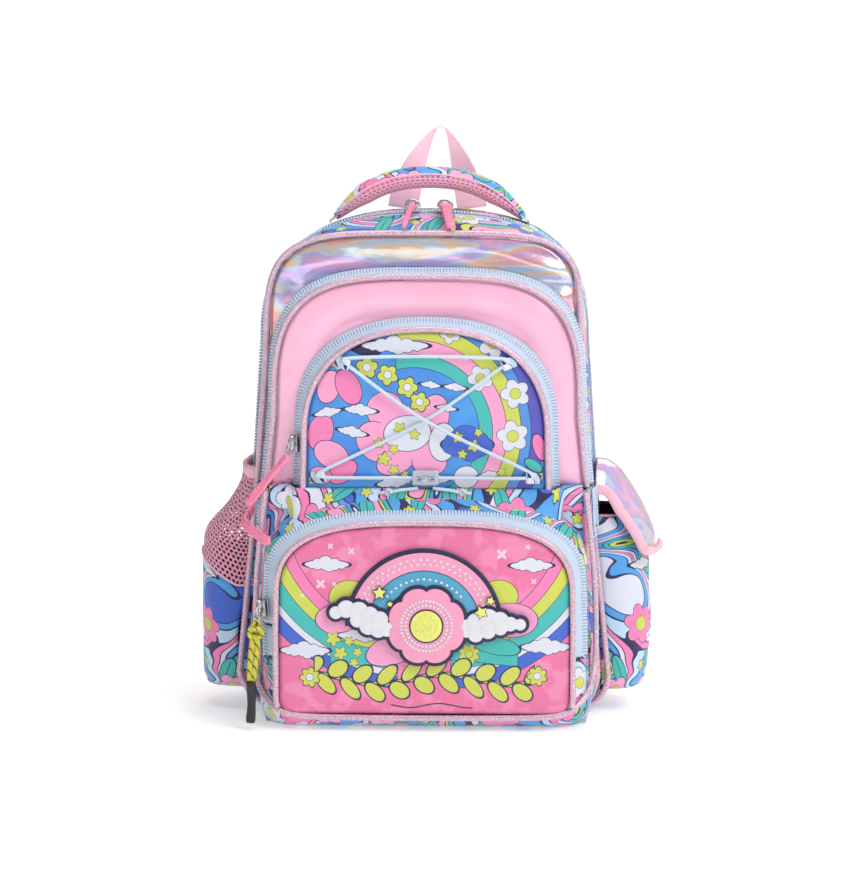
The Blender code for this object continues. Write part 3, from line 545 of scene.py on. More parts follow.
def pocket_print():
    """Pink with a sweep of coloured rays from each side, hills, clouds and a garland of leaves."""
    graph = Graph("pocket_panel_print")
    plane = panel_plane(graph)
    pale = graph.noise(plane, 0.05, 2.0, 0.5)
    ground = graph.mix(graph.smooth(pale, 0.47, 0.58), (0.82, 0.18, 0.37), (0.88, 0.26, 0.46))
    p = Print(graph, plane, ground, 0.5)
    x, z, _ = graph.split(plane)
    side = graph.math("ABSOLUTE", x)
    mirrored = graph.join(side, z)
    sweep = graph.vector("DISTANCE", mirrored, (10.0, 185.0, 0.0))
    inner = graph.math("SUBTRACT", 22.0, side)
    for outer, low, colour in ((150.0, 140.0, BLUE), (140.0, 134.5, WHITE), (134.5, 123.0, TEAL),
                               (123.0, 113.0, LIME), (113.0, 104.0, PINK)):
        band = graph.math("ABSOLUTE", sweep - (outer + low) / 2) - (outer - low) / 2
        p.lay(graph.math("MAXIMUM", band, inner), colour)
    for cx, cz, w, h, colour in ((-60.0, 110.0, 17.0, 14.0, LIME), (61.0, 112.0, 15.0, 13.0, LIME),
                                 (-66.0, 92.0, 22.0, 13.0, ROSE), (70.0, 92.0, 22.0, 14.0, ROSE)):
        p.oval((cx, cz), (w, h), colour)
    p.cloud((-50.0, 79.0), (20.0, 6.0))
    hill = graph.math("SINE", x * 0.052) * 4.5 + 72.0
    floor = graph.math("SINE", x * 0.045 + 1.0) * 2.5 + 57.0
    p.lay(graph.math("MAXIMUM", graph.math("MAXIMUM", z - hill, floor - z), side - 76.0), TEAL)
    p.oval((-24.0, 68.0), (24.0, 12.0), ROSE, -0.35)
    p.oval((58.0, 71.0), (20.0, 7.0), TEAL, 0.2)
    for cx, cz, w in ((-79.0, 137.0, 18.0), (87.0, 137.0, 17.0), (-97.0, 66.0, 20.0), (99.0, 70.0, 20.0)):
        p.cloud((cx, cz), (w, w * 0.34))
    for cx, cz, r in ((-84.0, 121.0, 5.0), (-76.0, 152.0, 3.0), (-59.0, 148.0, 3.4), (-73.0, 121.0, 2.6),
                      (63.0, 146.0, 5.4), (84.0, 152.0, 2.6), (89.0, 124.0, 2.8), (-99.0, 111.0, 2.4)):
        p.sparkle((cx, cz), r)
    for cx, cz, r in ((-74.0, 76.0, 6.4), (-61.0, 74.0, 4.2), (-68.0, 64.0, 6.0), (-54.0, 65.0, 4.2),
                      (-57.0, 56.5, 4.0)):
        p.star((cx, cz), r)
    p.flower((36.5, 64.0), 8.5, 8, LIME, LIME, 0.0)
    # A garland of leaves on a wavy stem, across the lower part
    stem = graph.math("SINE", x * 0.058 + 0.6) * 4.0 + 43.0
    inside = side - 89.0
    p.lay(graph.math("MAXIMUM", graph.math("ABSOLUTE", z - stem) - 1.6, inside), LIME, 0.9)
    for phase, tilt, lift in ((0.0, 0.75, 7.0), (0.5, -0.75, -7.0)):
        period = 20.0
        along = (graph.math("FRACT", x / period + (100.0 + phase)) - 0.5) * period
        up = z - stem - lift
        turned = graph.join(along * math.cos(tilt) + up * math.sin(tilt),
                            up * math.cos(tilt) - along * math.sin(tilt))
        leaf = (graph.vector("LENGTH", graph.vector("MULTIPLY", turned, (1 / 9.2, 1 / 5.4, 0.0))) - 1.0) * 5.4
        p.lay(graph.math("MAXIMUM", leaf, inside), LIME, 1.0)
    for cx, cz, r in ((-93.0, 44.0, 8.0), (92.0, 46.0, 8.0)):
        p.flower((cx, cz), r, 7, LIME, WHITE, 0.4, 0.9)
    curl = graph.math("SINE", x * 0.13) * 1.8 + 21.0
    p.lay(graph.math("MAXIMUM", graph.math("ABSOLUTE", z - curl) - 0.55,
                     graph.math("ABSOLUTE", x - 6.0) - 33.0),
          NAVY, 0)
    place = graph.place()
    normal = graph.bump(graph.noise(place, 0.035, 3.0, 0.6, 0.5), 0.0018, 0.45)
    normal = graph.bump(weave(graph, place, 0.8), 0.0001, 0.22, normal)
    return graph.finish(soiled(graph, place, p.colour, 0.05), 0.40, normal, Sheen_Weight=0.1,
                        Coat_Weight=0.12, Coat_Roughness=0.35)


def holographic(name="holographic_laminate_look", metallic=0.62):
    """Pink laminate whose tint runs from silver to peach, lilac and cyan along soft streaks."""
    graph = Graph(name)
    place = graph.place()
    stretched = graph.vector("MULTIPLY", place, (0.45, 1.0, 1.5))
    drift = graph.noise(stretched, 0.010, 3.0, 0.55, 1.6)
    tint = graph.ramp(drift, ((0.30, (0.58, 0.36, 0.56)), (0.38, (0.78, 0.42, 0.58)),
                              (0.44, (0.88, 0.44, 0.42)), (0.48, (0.90, 0.64, 0.46)),
                              (0.515, (0.56, 0.72, 0.82)), (0.55, (0.55, 0.45, 0.82)),
                              (0.60, (0.86, 0.46, 0.66)), (0.68, (0.82, 0.62, 0.76)),
                              (0.76, (0.54, 0.54, 0.74))))
    grain = graph.noise(place, 1.4, 2.0, 0.6)
    colour = graph.mix(graph.smooth(grain, 0.35, 0.75, 0.0, 0.12), tint, (0.95, 0.85, 0.95))
    creases = graph.noise(graph.vector("MULTIPLY", place, (0.6, 1.0, 1.3)), 0.035, 3.0, 0.5, 1.2)
    normal = graph.bump(creases, 0.0022, 0.5)
    return graph.finish(colour, 0.24, normal, Metallic=metallic, Coat_Weight=0.7, Coat_Roughness=0.08,
                        Thin_Film_Thickness=420.0, Thin_Film_IOR=1.4)


def gloss_pink():
    graph, colour = Graph("pink_gloss_look"), (0.96, 0.46, 0.64)
    place = graph.place()
    tone = graph.noise(place, 0.012, 3.0, 0.5, 0.5)
    shade = graph.mix(graph.smooth(tone, 0.3, 0.7), colour, tuple(min(1.0, c * 1.06 + 0.03) for c in colour))
    normal = graph.bump(graph.noise(place, 0.022, 3.0, 0.5, 0.8), 0.0034, 0.55)
    normal = graph.bump(weave(graph, place, 1.0), 0.00008, 0.10, normal)
    return graph.finish(shade, 0.26, normal, Coat_Weight=1.0, Coat_Roughness=0.04)


def glitter():
    graph = Graph("glitter_piping_look")
    place = graph.place()
    _, speck = graph.cells(place, 2.6)
    brightness, other, _ = graph.split(speck)
    colour = graph.mix(brightness, (0.50, 0.26, 0.38), (0.84, 0.62, 0.72))
    # Painted glints: the brightest flakes are painted almost white.
    colour = graph.mix(brightness > 0.93, colour, (1.0, 0.97, 1.0))
    normal = graph.bump(brightness, 0.0004, 0.5)
    return graph.finish(colour, graph.math("MULTIPLY_ADD", other, 0.25, 0.18), normal, Metallic=0.35,
                        Coat_Weight=0.5, Coat_Roughness=0.12)


def zip_cloth():
    graph = Graph("zip_tape_look")
    place = graph.place("UV")
    x, y, _ = graph.split(place)
    rib = graph.math("SINE", y * (2 * math.pi / 1.1)) * graph.math("SINE", x * (2 * math.pi / 0.9))
    colour = soiled(graph, place, graph.mix(rib * 0.5 + 0.5, (0.48, 0.60, 0.76), ZIP), 0.05)
    return graph.finish(colour, 0.5, graph.bump(rib, 0.00015, 0.3), Sheen_Weight=0.2)


def zip_teeth():
    graph = Graph("zip_teeth_look")
    place = graph.place()
    colour = graph.mix(graph.noise(place, 0.3, 2.0), (0.52, 0.64, 0.78), (0.64, 0.74, 0.86))
    return graph.finish(colour, 0.32, graph.bump(graph.noise(place, 3.0, 2.0), 0.0001, 0.2), Coat_Weight=0.3,
                        Coat_Roughness=0.2)


def knit():
    """Spacer mesh: round holes in offset rows, with painted shade inside them."""
    graph = Graph("pink_mesh_look")
    place = graph.place()
    hole, _ = graph.cells(place, 0.36, randomness=0.25)
    depth = graph.smooth(hole, 0.16, 0.42)
    # Painted shade: each hole darkens towards its middle.
    shade = soiled(graph, place, graph.mix(depth, (0.30, 0.06, 0.12), (0.86, 0.30, 0.46)), 0.08)
    normal = graph.bump(depth, 0.0009, 0.8)
    return graph.finish(shade, 0.8, normal, Sheen_Weight=0.4)


def honeycomb():
    """Spacer mesh with diamond cells: pale ridges round hollows darkened with painted shade."""
    graph = Graph("grip_mesh_look")
    x, y, _ = graph.split(graph.place("UV"))
    row = y / 2.5
    shift = graph.math("MODULO", graph.math("FLOOR", row + 100.0), 2.0) * 0.5
    u = graph.math("ABSOLUTE", graph.math("FRACT", x / 4.2 + shift + 100.0) - 0.5)
    v = graph.math("ABSOLUTE", graph.math("FRACT", row + 100.0) - 0.5)
    ridge = graph.smooth(u + v * 1.1, 0.22, 0.52)
    # Painted shade: the hollows between the ridges take the darker colour.
    shade = graph.mix(ridge, (0.56, 0.14, 0.28), (0.90, 0.42, 0.56))
    shade = soiled(graph, graph.place(), shade, 0.08)
    return graph.finish(shade, 0.7, graph.bump(ridge, 0.0009, 0.8), Sheen_Weight=0.4)


def net():
    """An open warp knit: round holes in offset rows, cut right through the cloth, with painted shade on the
    strands towards each hole.
    """
    graph = Graph("net_look")
    along, up, _ = graph.split(graph.place("UV"))
    row = up / 3.0
    shift = graph.math("MODULO", graph.math("FLOOR", row + 100.0), 2.0) * 0.5
    u = graph.math("FRACT", along / 3.5 + shift + 100.0) - 0.5
    v = graph.math("FRACT", row + 100.0) - 0.5
    gap = graph.vector("LENGTH", graph.join(u * 3.5, v * 3.2))
    hole = gap < 1.0
    strand = graph.smooth(gap, 0.95, 1.5)
    # Painted shade: the strands darken towards each hole's edge.
    colour = soiled(graph, graph.place(), graph.mix(strand, (0.62, 0.20, 0.32), (0.84, 0.36, 0.50)), 0.08)
    normal = graph.bump(strand, 0.0007, 0.7)
    return graph.finish(colour, 0.75, normal, Sheen_Weight=0.4, Alpha=1.0 - hole)


def webbing(name="webbing_look", glow=0.0):
    graph = Graph(name)
    place = graph.place("UV")
    x, y, _ = graph.split(place)
    slant = graph.math("SINE", (x + graph.math("PINGPONG", y, 5.5) * 0.9) * (2 * math.pi / 1.7))
    colour = graph.mix(slant * 0.5 + 0.5, (0.88, 0.46, 0.58), (0.97, 0.64, 0.74))
    # glow above 0 is a painted glow: emission in the webbing's own pink that makes it look lit though it is
    # no lamp
    return graph.finish(soiled(graph, place, colour, 0.06), 0.62, graph.bump(slant, 0.0003, 0.45),
                        Sheen_Weight=0.5, Emission_Color=(0.95, 0.66, 0.78, 1.0), Emission_Strength=glow)


def rubber(name, colour, roughness=0.42):
    graph = Graph(name)
    place = graph.place()
    tone = graph.noise(place, 0.12, 3.0)
    shade = graph.mix(graph.smooth(tone, 0.3, 0.75, 0.0, 0.25), colour,
                      tuple(min(1.0, c * 1.15 + 0.02) for c in colour))
    normal = graph.bump(graph.noise(place, 2.2, 2.0), 0.0001, 0.25)
    return graph.finish(shade, roughness, normal, Coat_Weight=0.15, Coat_Roughness=0.3)


def metal():
    graph = Graph("nickel_look")
    place = graph.place()
    scratch = graph.noise(graph.vector("MULTIPLY", place, (1.0, 6.0, 1.0)), 0.9, 4.0, 0.7)
    colour = graph.mix(scratch, (0.42, 0.42, 0.44), (0.66, 0.66, 0.68))
    return graph.finish(colour, graph.math("MULTIPLY_ADD", scratch, 0.22, 0.14),
                        graph.bump(scratch, 0.0001, 0.3),
                        Metallic=1.0)


def elastic():
    graph = Graph("elastic_look")
    place = graph.place()
    x, _, z = graph.split(place)
    braid = graph.math("SINE", (x + z * 1.3) * 4.2) * graph.math("SINE", (x - z * 1.3) * 4.2)
    colour = graph.mix(braid * 0.5 + 0.5, (0.48, 0.62, 0.74), (0.80, 0.90, 0.96))
    return graph.finish(colour, 0.6, graph.bump(braid, 0.0002, 0.5), Sheen_Weight=0.3)


def flecked_cord():
    graph = Graph("flecked_cord_look")
    place = graph.place()
    x, y, z = graph.split(place)
    strand = graph.math("SINE", (x * 1.4 + z) * 3.6) * graph.math("SINE", (x * 1.4 - z) * 3.6)
    fleck = graph.math("SINE", (z * 0.62) + (x + y) * 0.9) > 0.86
    colour = graph.mix(strand * 0.5 + 0.5, (0.60, 0.56, 0.01), (0.92, 0.88, 0.06))
    colour = graph.mix(fleck, colour, (0.015, 0.015, 0.015))
    return graph.finish(colour, 0.6, graph.bump(strand, 0.0004, 0.6), Sheen_Weight=0.3)


def clear_plastic():
    graph = Graph("clear_plastic_look")
    place = graph.place()
    tone = graph.noise(place, 0.2, 2.0)
    colour = graph.mix(tone, (0.66, 0.72, 0.86), (0.84, 0.88, 0.96))
    return graph.finish(colour, 0.18, graph.bump(tone, 0.0002, 0.2), Transmission_Weight=0.45, IOR=1.46,
                        Coat_Weight=0.4, Coat_Roughness=0.08)


def lining():
    graph = Graph("lining_look")
    place = graph.place()
    colour = graph.mix(graph.noise(place, 0.03, 3.0), (0.035, 0.02, 0.03), (0.075, 0.045, 0.06))
    return graph.finish(colour, 0.7, cloth_normal(graph, place), Sheen_Weight=0.2)


def board():
    graph = Graph("board_look")
    place = graph.place()
    grain = graph.noise(place, 0.5, 4.0)
    colour = graph.mix(grain, (0.10, 0.10, 0.11), (0.19, 0.19, 0.20))
    return graph.finish(colour, 0.6, graph.bump(grain, 0.0003, 0.4))


def thread(name, colour):
    graph = Graph(name)
    place = graph.place()
    twist = graph.math("SINE", graph.vector("DOT_PRODUCT", place, (3.0, 2.0, 4.0)))
    return graph.finish(graph.mix(twist * 0.5 + 0.5, tuple(c * 0.7 for c in colour), colour), 0.6,
                        graph.bump(twist, 0.0001, 0.4))


LOOKS = {
    "print": printed_cloth(), "print_light": printed_cloth("printed_cloth_light", WHITE),
    "holo": holographic(), "holo_flap": holographic("flap_laminate_look", 0.30), "gloss": gloss_pink(),
    "glitter": glitter(), "tape": zip_cloth(), "teeth": zip_teeth(), "webbing": webbing(),
    # The hang loop's webbing gets a painted glow of 0.30, which brightens its shaded leg.
    "loop": webbing("loop_webbing_painted_glow_look", 0.30), "metal": metal(), "elastic": elastic(),
    "flecked": flecked_cord(), "clear": clear_plastic(), "lining": lining(), "board": board(),
    "net": net(), "grip_mesh": honeycomb(), "mesh": knit(),
    "bungee_print": bungee_print(), "pocket_print": pocket_print(),
    "soft_pink": rubber("pink_rubber_look", (0.93, 0.26, 0.42)),
    "binding": rubber("binding_look", (0.90, 0.50, 0.60), 0.6),
    "navy": rubber("patch_navy_look", (0.015, 0.012, 0.07)),
    "patch_pink": rubber("patch_pink_look", (0.87, 0.33, 0.50)),
    "patch_blue": rubber("patch_blue_look", (0.07, 0.36, 0.56)),
    "patch_white": rubber("patch_white_look", (0.72, 0.72, 0.77)),
    "patch_yellow": rubber("patch_yellow_look", (0.78, 0.78, 0.18)),
    "black": rubber("black_sleeve_look", (0.012, 0.012, 0.013)),
    "pink_plastic": rubber("pink_plastic_look", (0.88, 0.36, 0.50), 0.3),
    "thread": thread("thread_look", (0.72, 0.30, 0.44)),
    "pale_thread": thread("pale_thread_look", (0.75, 0.78, 0.86)),
}

# ---------------------------------------------------------------- mesh helpers


def mesh_from(work, name):
    mesh = bpy.data.meshes.new(name)
    work.to_mesh(mesh)
    work.free()
    return mesh


def lists_from(work):
    """(vertices, faces) of a bmesh, for merging into a larger piece."""
    work.verts.index_update()
    verts = [v.co.copy() for v in work.verts]
    faces = [[v.index for v in f.verts] for f in work.faces]
    work.free()
    return verts, faces


def thicken(obj, thickness):
    shell = obj.modifiers.new("Thickness", "SOLIDIFY")
    shell.thickness, shell.offset = thickness, -1.0
    return obj


def add(name, mesh, look, body, stands_for=()):
    """Puts a mesh or curve in the scene, gives it its material and has it ride on a body."""
    obj = bpy.data.objects.new(name, mesh)
    bpy.context.scene.collection.objects.link(obj)
    obj.data.materials.append(LOOKS[look])
    if isinstance(mesh, bpy.types.Mesh):
        mesh.polygons.foreach_set("use_smooth", [True] * len(mesh.polygons))
    if body:
        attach(obj, body)
    if stands_for:
        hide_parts(*stands_for)
    return obj


def resample(points, count, closed=False):
    """Evenly spaced points along a polyline."""
    points = [Vector(p) for p in points]
    if closed:
        points.append(points[0].copy())
    lengths = [0.0]
    for a, b in zip(points, points[1:]):
        lengths.append(lengths[-1] + (b - a).length)
    total, made, at = lengths[-1], [], 0
    for i in range(count):
        want = total * i / (count if closed else count - 1)
        while at < len(points) - 2 and lengths[at + 1] < want:
            at += 1
        span = lengths[at + 1] - lengths[at]
        made.append(points[at].lerp(points[at + 1], (want - lengths[at]) / span if span > 1e-9 else 0.0))
    return made


def at_depth(outline, y, count, closed=False):
    """An outline of (x, z) as evenly spaced points at depth y."""
    return [Vector((p.x, y, p.y)) for p in resample(outline, count, closed)]


def ruffle(p, scale, seed=0.0):
    return noise.noise(Vector((p.x * scale + seed, p.y * scale - seed, p.z * scale + 2 * seed)))


def outward(row, closed=False):
    """For each point of a row in a plane of constant y, the direction out of the loop it makes."""
    centre = Vector((0, 0, 0))
    for p in row:
        centre += p / len(row)
    made = []
    for i, p in enumerate(row):
        before = row[i - 1] if i or closed else row[i]
        after = row[(i + 1) % len(row)] if i < len(row) - 1 or closed else row[i]
        along = after - before
        side = Vector((along.z, 0, -along.x)).normalized()
        made.append(side if side.dot(p - centre) > 0 else -side)
    return made


def full_rows(rows, splits, bow=0.0, wave=0.0, seed=0.0, closed=False):
    """Adds rows between the given ones, bowed out of the loop, with slight waves."""
    made = []
    for r in range(len(rows) - 1):
        a, b = rows[r], rows[r + 1]
        normals = outward(a, closed)
        for k in range(splits + (r == len(rows) - 2)):
            t = k / splits
            lift = math.sin(math.pi * t)
            row = []
            for p, q, n in zip(a, b, normals):
                point = p.lerp(q, t)
                row.append(point + n * lift * (bow + wave * ruffle(point, 28.0, seed)))
            made.append(row)
    return made


def sheet_mesh(name, rows, closed=False, flip=False):
    """A grid through rows of points, with UVs in metres along and across."""
    count = len(rows[0])
    work = bmesh.new()
    verts = [[work.verts.new(p) for p in row] for row in rows]
    layer = work.loops.layers.uv.new("UVMap")
    across, along = [0.0], [0.0]
    for r in range(1, len(rows)):
        across.append(across[-1] + (rows[r][count // 2] - rows[r - 1][count // 2]).length)
    middle = rows[len(rows) // 2]
    for i in range(1, count + 1):
        along.append(along[-1] + (middle[i % count] - middle[i - 1]).length)
    for r in range(len(rows) - 1):
        for i in range(count if closed else count - 1):
            j = (i + 1) % count
            corners = [(r, i), (r + 1, i), (r + 1, j), (r, j)]
            face = work.faces.new([verts[a][b] for a, b in corners])
            for loop, (a, b) in zip(face.loops, corners):
                u = along[i + 1] if b == j else along[i]
                loop[layer].uv = (u, across[a])
    if flip:
        bmesh.ops.reverse_faces(work, faces=work.faces)
    return mesh_from(work, name)


def faces_out(mesh):
    """True if most faces look away from the mesh's middle."""
    centre = sum((v.co for v in mesh.vertices), Vector()) / len(mesh.vertices)
    return sum(f.normal.dot(f.center - centre) * f.area for f in mesh.polygons) > 0


def wall(name, rows, look, body, stands_for=(), thickness=0.0016, closed=False):
    """A cloth wall through rows of points, thickened inwards."""
    mesh = sheet_mesh(name, rows, closed)
    if not faces_out(mesh):
        bpy.data.meshes.remove(mesh)
        mesh = sheet_mesh(name, rows, closed, flip=True)
    return thicken(add(name, mesh, look, body, stands_for), thickness)


def panel(name, outline, y, look, body, stands_for=(), swell=lambda t, p: 0.0, rings=26, count=200,
          centre=(0.0, 0.27), thickness=0.0014, facing=-1):
    """A cloth panel across y, filled ring by ring from its edge to its middle. swell gives how far each
    point stands out towards the front."""
    edge = resample(outline, count, True)
    work = bmesh.new()
    layer = work.loops.layers.uv.new("UVMap")
    made = []
    for k in range(rings):
        t = 1 - k / rings
        row = []
        for p in edge:
            flat = Vector(centre).lerp(p.xy, t)
            point = Vector((flat.x, y, flat.y))
            row.append(work.verts.new(point + Vector((0, facing * swell(t, point), 0))))
        made.append(row)
    tip = Vector((centre[0], y, centre[1]))
    middle = work.verts.new(tip + Vector((0, facing * swell(0.0, tip), 0)))
    for a, b in zip(made, made[1:]):
        for i in range(count):
            j = (i + 1) % count
            work.faces.new((a[i], a[j], b[j], b[i]))
    for i in range(count):
        work.faces.new((made[-1][i], made[-1][(i + 1) % count], middle))
    for face in work.faces:
        for loop in face.loops:
            loop[layer].uv = (loop.vert.co.x, loop.vert.co.z)
    work.normal_update()
    if sum(f.normal.y * f.calc_area() for f in work.faces) * facing < 0:
        bmesh.ops.reverse_faces(work, faces=work.faces)
    return thicken(add(name, mesh_from(work, name), look, body, stands_for), thickness)


def tube(name, points, radius, look, body, stands_for=(), closed=False, sides=4):
    curve = bpy.data.curves.new(name, "CURVE")
    curve.dimensions = "3D"
    curve.bevel_depth, curve.bevel_resolution, curve.use_fill_caps = radius, sides, True
    spline = curve.splines.new("POLY")
    spline.points.add(len(points) - 1)
    for point, co in zip(spline.points, points):
        point.co = (*co, 1)
    spline.use_cyclic_u = closed
    return add(name, curve, look, body, stands_for)


def smooth_path(points, steps):
    """A Catmull-Rom curve through points."""
    nodes = [Vector(p) for p in points]
    padded = [nodes[0] * 2 - nodes[1]] + nodes + [nodes[-1] * 2 - nodes[-2]]
    path = []
    for i in range(1, len(padded) - 2):
        a, b, c, d = padded[i - 1:i + 3]
        for step in range(steps):
            t = step / steps
            path.append(0.5 * (2 * b + (c - a) * t + (2 * a - 5 * b + 4 * c - d) * t * t
                               + (3 * b - a - 3 * c + d) * t ** 3))
    return path + [nodes[-1]]


def piping(name, outline, y, body, stands_for, count=240, closed=False):
    """Glitter piping on an outline: a round cord in a vinyl skin."""
    row = at_depth(outline, y, count, closed)
    for p in row:
        p.y += 0.0003 * ruffle(p, 60.0)
    return tube(name, row, PIPING_R, "glitter", body, stands_for, closed, 5)


def swept(name, sections, look, body, stands_for=()):
    """A tube of any section. Sections are rings of points."""
    count = len(sections[0])
    work = bmesh.new()
    layer = work.loops.layers.uv.new("UVMap")
    verts = [[work.verts.new(p) for p in ring_points] for ring_points in sections]
    lengths = [0.0]
    for a, b in zip(sections, sections[1:]):
        lengths.append(lengths[-1] + (sum(b, Vector()) - sum(a, Vector())).length / count)
    girth = [0.0]
    for i in range(count):
        girth.append(girth[-1] + (sections[len(sections) // 2][(i + 1) % count]
                                  - sections[len(sections) // 2][i]).length)
    for r in range(len(sections) - 1):
        for i in range(count):
            j = (i + 1) % count
            corners = ((r, i, girth[i]), (r, j, girth[i + 1]), (r + 1, j, girth[i + 1]), (r + 1, i, girth[i]))
            face = work.faces.new([verts[a][b] for a, b, _ in corners])
            for loop, (a, _, u) in zip(face.loops, corners):
                loop[layer].uv = (lengths[a], u)
    work.faces.new(verts[0])
    work.faces.new(verts[-1])
    bmesh.ops.recalc_face_normals(work, faces=work.faces)
    return add(name, mesh_from(work, name), look, body, stands_for)


def ribbon_sections(path, across, width, thickness, crown=1.0, sides=14):
    """Rounded flat sections along a path; each of across, width and thickness may be a list."""
    sections = []
    for i, point in enumerate(path):
        along = (path[min(i + 1, len(path) - 1)] - path[max(i - 1, 0)]).normalized()
        side = across[i] if isinstance(across, list) else across
        side = (side - along * side.dot(along)).normalized()
        normal = along.cross(side)
        w = (width[i] if isinstance(width, list) else width) / 2
        t = (thickness[i] if isinstance(thickness, list) else thickness) / 2
        ring_points = []
        for k in range(sides):
            angle = 2 * math.pi * k / sides
            c, s = math.cos(angle), math.sin(angle)
            ring_points.append(point + side * w * math.copysign(abs(c) ** (0.5 / crown), c)
                               + normal * t * math.copysign(abs(s) ** (0.75 * crown), s))
        sections.append(ring_points)
    return sections


def merged(name, meshes, look, body, stands_for=()):
    """One object from many (vertices, faces) pairs."""
    points, faces = [], []
    for verts, polys in meshes:
        start = len(points)
        points += [tuple(v) for v in verts]
        faces += [tuple(i + start for i in poly) for poly in polys]
    mesh = bpy.data.meshes.new(name)
    mesh.from_pydata(points, [], faces)
    mesh.update()
    return add(name, mesh, look, body, stands_for)


def template(size, bevel, segments=1):
    """(vertices, faces) of a rounded block centred on the origin."""
    work = bmesh.new()
    bmesh.ops.create_cube(work, size=1.0)
    bmesh.ops.scale(work, vec=size, verts=work.verts)
    bmesh.ops.bevel(work, geom=work.edges[:], offset=bevel, segments=segments, affect="EDGES", profile=0.6)
    return lists_from(work)


def placed(shape, matrix):
    return [matrix @ v for v in shape[0]], shape[1]


def frame_at(point, along, up):
    along = along.normalized()
    up = (up - along * up.dot(along)).normalized()
    side = along.cross(up)
    made = Matrix((along, side, up)).transposed().to_4x4()
    made.translation = point
    return made


def teeth(name, row, normals, y_centre, body, width, pitch=0.0026):
    """A zip's moulded teeth: a rounded bar across the zip at every pitch along its path."""
    bar = template((pitch * 0.68, width, 0.0019), 0.0005)
    length = sum((b - a).length for a, b in zip(row, row[1:]))
    count = int(length / pitch)
    spots = resample(row, count)
    ups = resample(normals, count)
    made = []
    for i in range(1, count - 1):
        spot = spots[i].copy()
        if y_centre is not None:
            spot.y = y_centre
        made.append(placed(bar, frame_at(spot + ups[i] * 0.0006, spots[i + 1] - spots[i - 1], ups[i])))
    return merged(name, made, "teeth", body)


def stitches(name, row, body, look="thread", length=0.0026, gap=0.0014, radius=0.00032):
    """A run of short raised stitches along a path."""
    total = sum((b - a).length for a, b in zip(row, row[1:]))
    count = max(2, int(total / (length + gap)))
    spots = resample(row, count * 2)
    shape = template((1.0, 1.0, 1.0), 0.3)
    made = []
    for i in range(0, count * 2 - 1, 2):
        a, b = spots[i], spots[i + 1]
        along = b - a
        up = Vector((0, -1, 0.2)) if abs(along.normalized().y) < 0.9 else Vector((0, 0, 1))
        made.append(placed(shape, frame_at((a + b) / 2, along, up)
                           @ Matrix.Diagonal((along.length * 0.92, radius * 2, radius * 2, 1))))
    return merged(name, made, look, body)


# ---------------------------------------------------------------- camera, light and floor


def camera():
    made = bpy.data.cameras.new("camera")
    obj = bpy.data.objects.new("camera", made)
    bpy.context.scene.collection.objects.link(obj)
    bpy.context.scene.camera = obj
    azimuth, elevation, distance = math.radians(1.8), math.radians(8.0), 4.25
    target = Vector((0.0005, -0.015, 0.2225))
    back_dir = Vector((math.sin(azimuth) * math.cos(elevation), -math.cos(azimuth) * math.cos(elevation),
                       math.sin(elevation)))
    obj.location = target + back_dir * distance
    obj.rotation_euler = (-back_dir).to_track_quat("-Z", "Y").to_euler()
    made.lens, made.sensor_width = 208.0, 36.0
    made.clip_start, made.clip_end = 0.05, 50.0


def area_light(name, place, aim, size, power, colour=(1, 1, 1)):
    lamp = bpy.data.lights.new(name, "AREA")
    lamp.shape, lamp.size, lamp.size_y, lamp.energy, lamp.color = "RECTANGLE", size[0], size[1], power, colour
    obj = bpy.data.objects.new(name, lamp)
    obj.location = place
    obj.rotation_euler = (Vector(aim) - Vector(place)).to_track_quat("-Z", "Y").to_euler()
    bpy.context.scene.collection.objects.link(obj)


def studio():
    world = bpy.data.worlds.new("studio")
    world.use_nodes = True
    tree = world.node_tree
    sky = tree.nodes["Background"]
    sky.inputs[0].default_value = (1.0, 1.0, 1.0, 1)
    place = tree.nodes.new("ShaderNodeTexCoord")
    parts = tree.nodes.new("ShaderNodeSeparateXYZ")
    spread = tree.nodes.new("ShaderNodeMapRange")
    for socket, value in (("From Min", -0.9), ("From Max", 0.3), ("To Min", 0.12), ("To Max", 0.54)):
        spread.inputs[socket].default_value = value
    tree.links.new(place.outputs["Generated"], parts.inputs[0])
    tree.links.new(parts.outputs["X"], spread.inputs["Value"])
    tree.links.new(spread.outputs["Result"], sky.inputs["Strength"])
    bpy.context.scene.world = world
    bpy.context.scene.view_settings.view_transform = "Standard"
    area_light("key", (1.7, -2.0, 2.3), (0, 0, 0.2), (1.5, 1.5), 45.0)
    area_light("fill", (-1.8, -2.2, 1.2), (0, 0, 0.2), (1.4, 2.0), 4.0)
    area_light("top", (0.1, -0.1, 2.2), (0, 0, 0.2), (1.6, 1.2), 18.0)
    area_light("back", (0.4, 2.4, 1.6), (0, 0, 0.2), (1.6, 1.4), 14.0)
    rows = [[Vector((x * 40.0, y * 40.0, -0.0004)) for x in (-1, 1)] for y in (-1, 1)]
    mesh = sheet_mesh("floor", rows)
    floor = bpy.data.objects.new("floor", mesh)
    graph = Graph("floor_look")
    tone = graph.noise(graph.place(), 0.004, 2.0)
    glow = graph.smooth(graph.vector("LENGTH", graph.place()), 450.0, 1500.0, 0.34, 0.70)
    mesh.materials.append(graph.finish(graph.mix(tone, (0.86, 0.86, 0.86), (0.90, 0.90, 0.90)), 0.7,
                                       Emission_Color=(1.0, 1.0, 1.0, 1.0), Emission_Strength=glow))
    bpy.context.scene.collection.objects.link(floor)
    if mesh.polygons[0].normal.z < 0:
        mesh.flip_normals()


camera()
studio()

# ---------------------------------------------------------------- body cloth

N = 220


def above_floor(rows):
    for row in rows:
        for p in row:
            p.z = max(p.z, 0.0)
    return rows


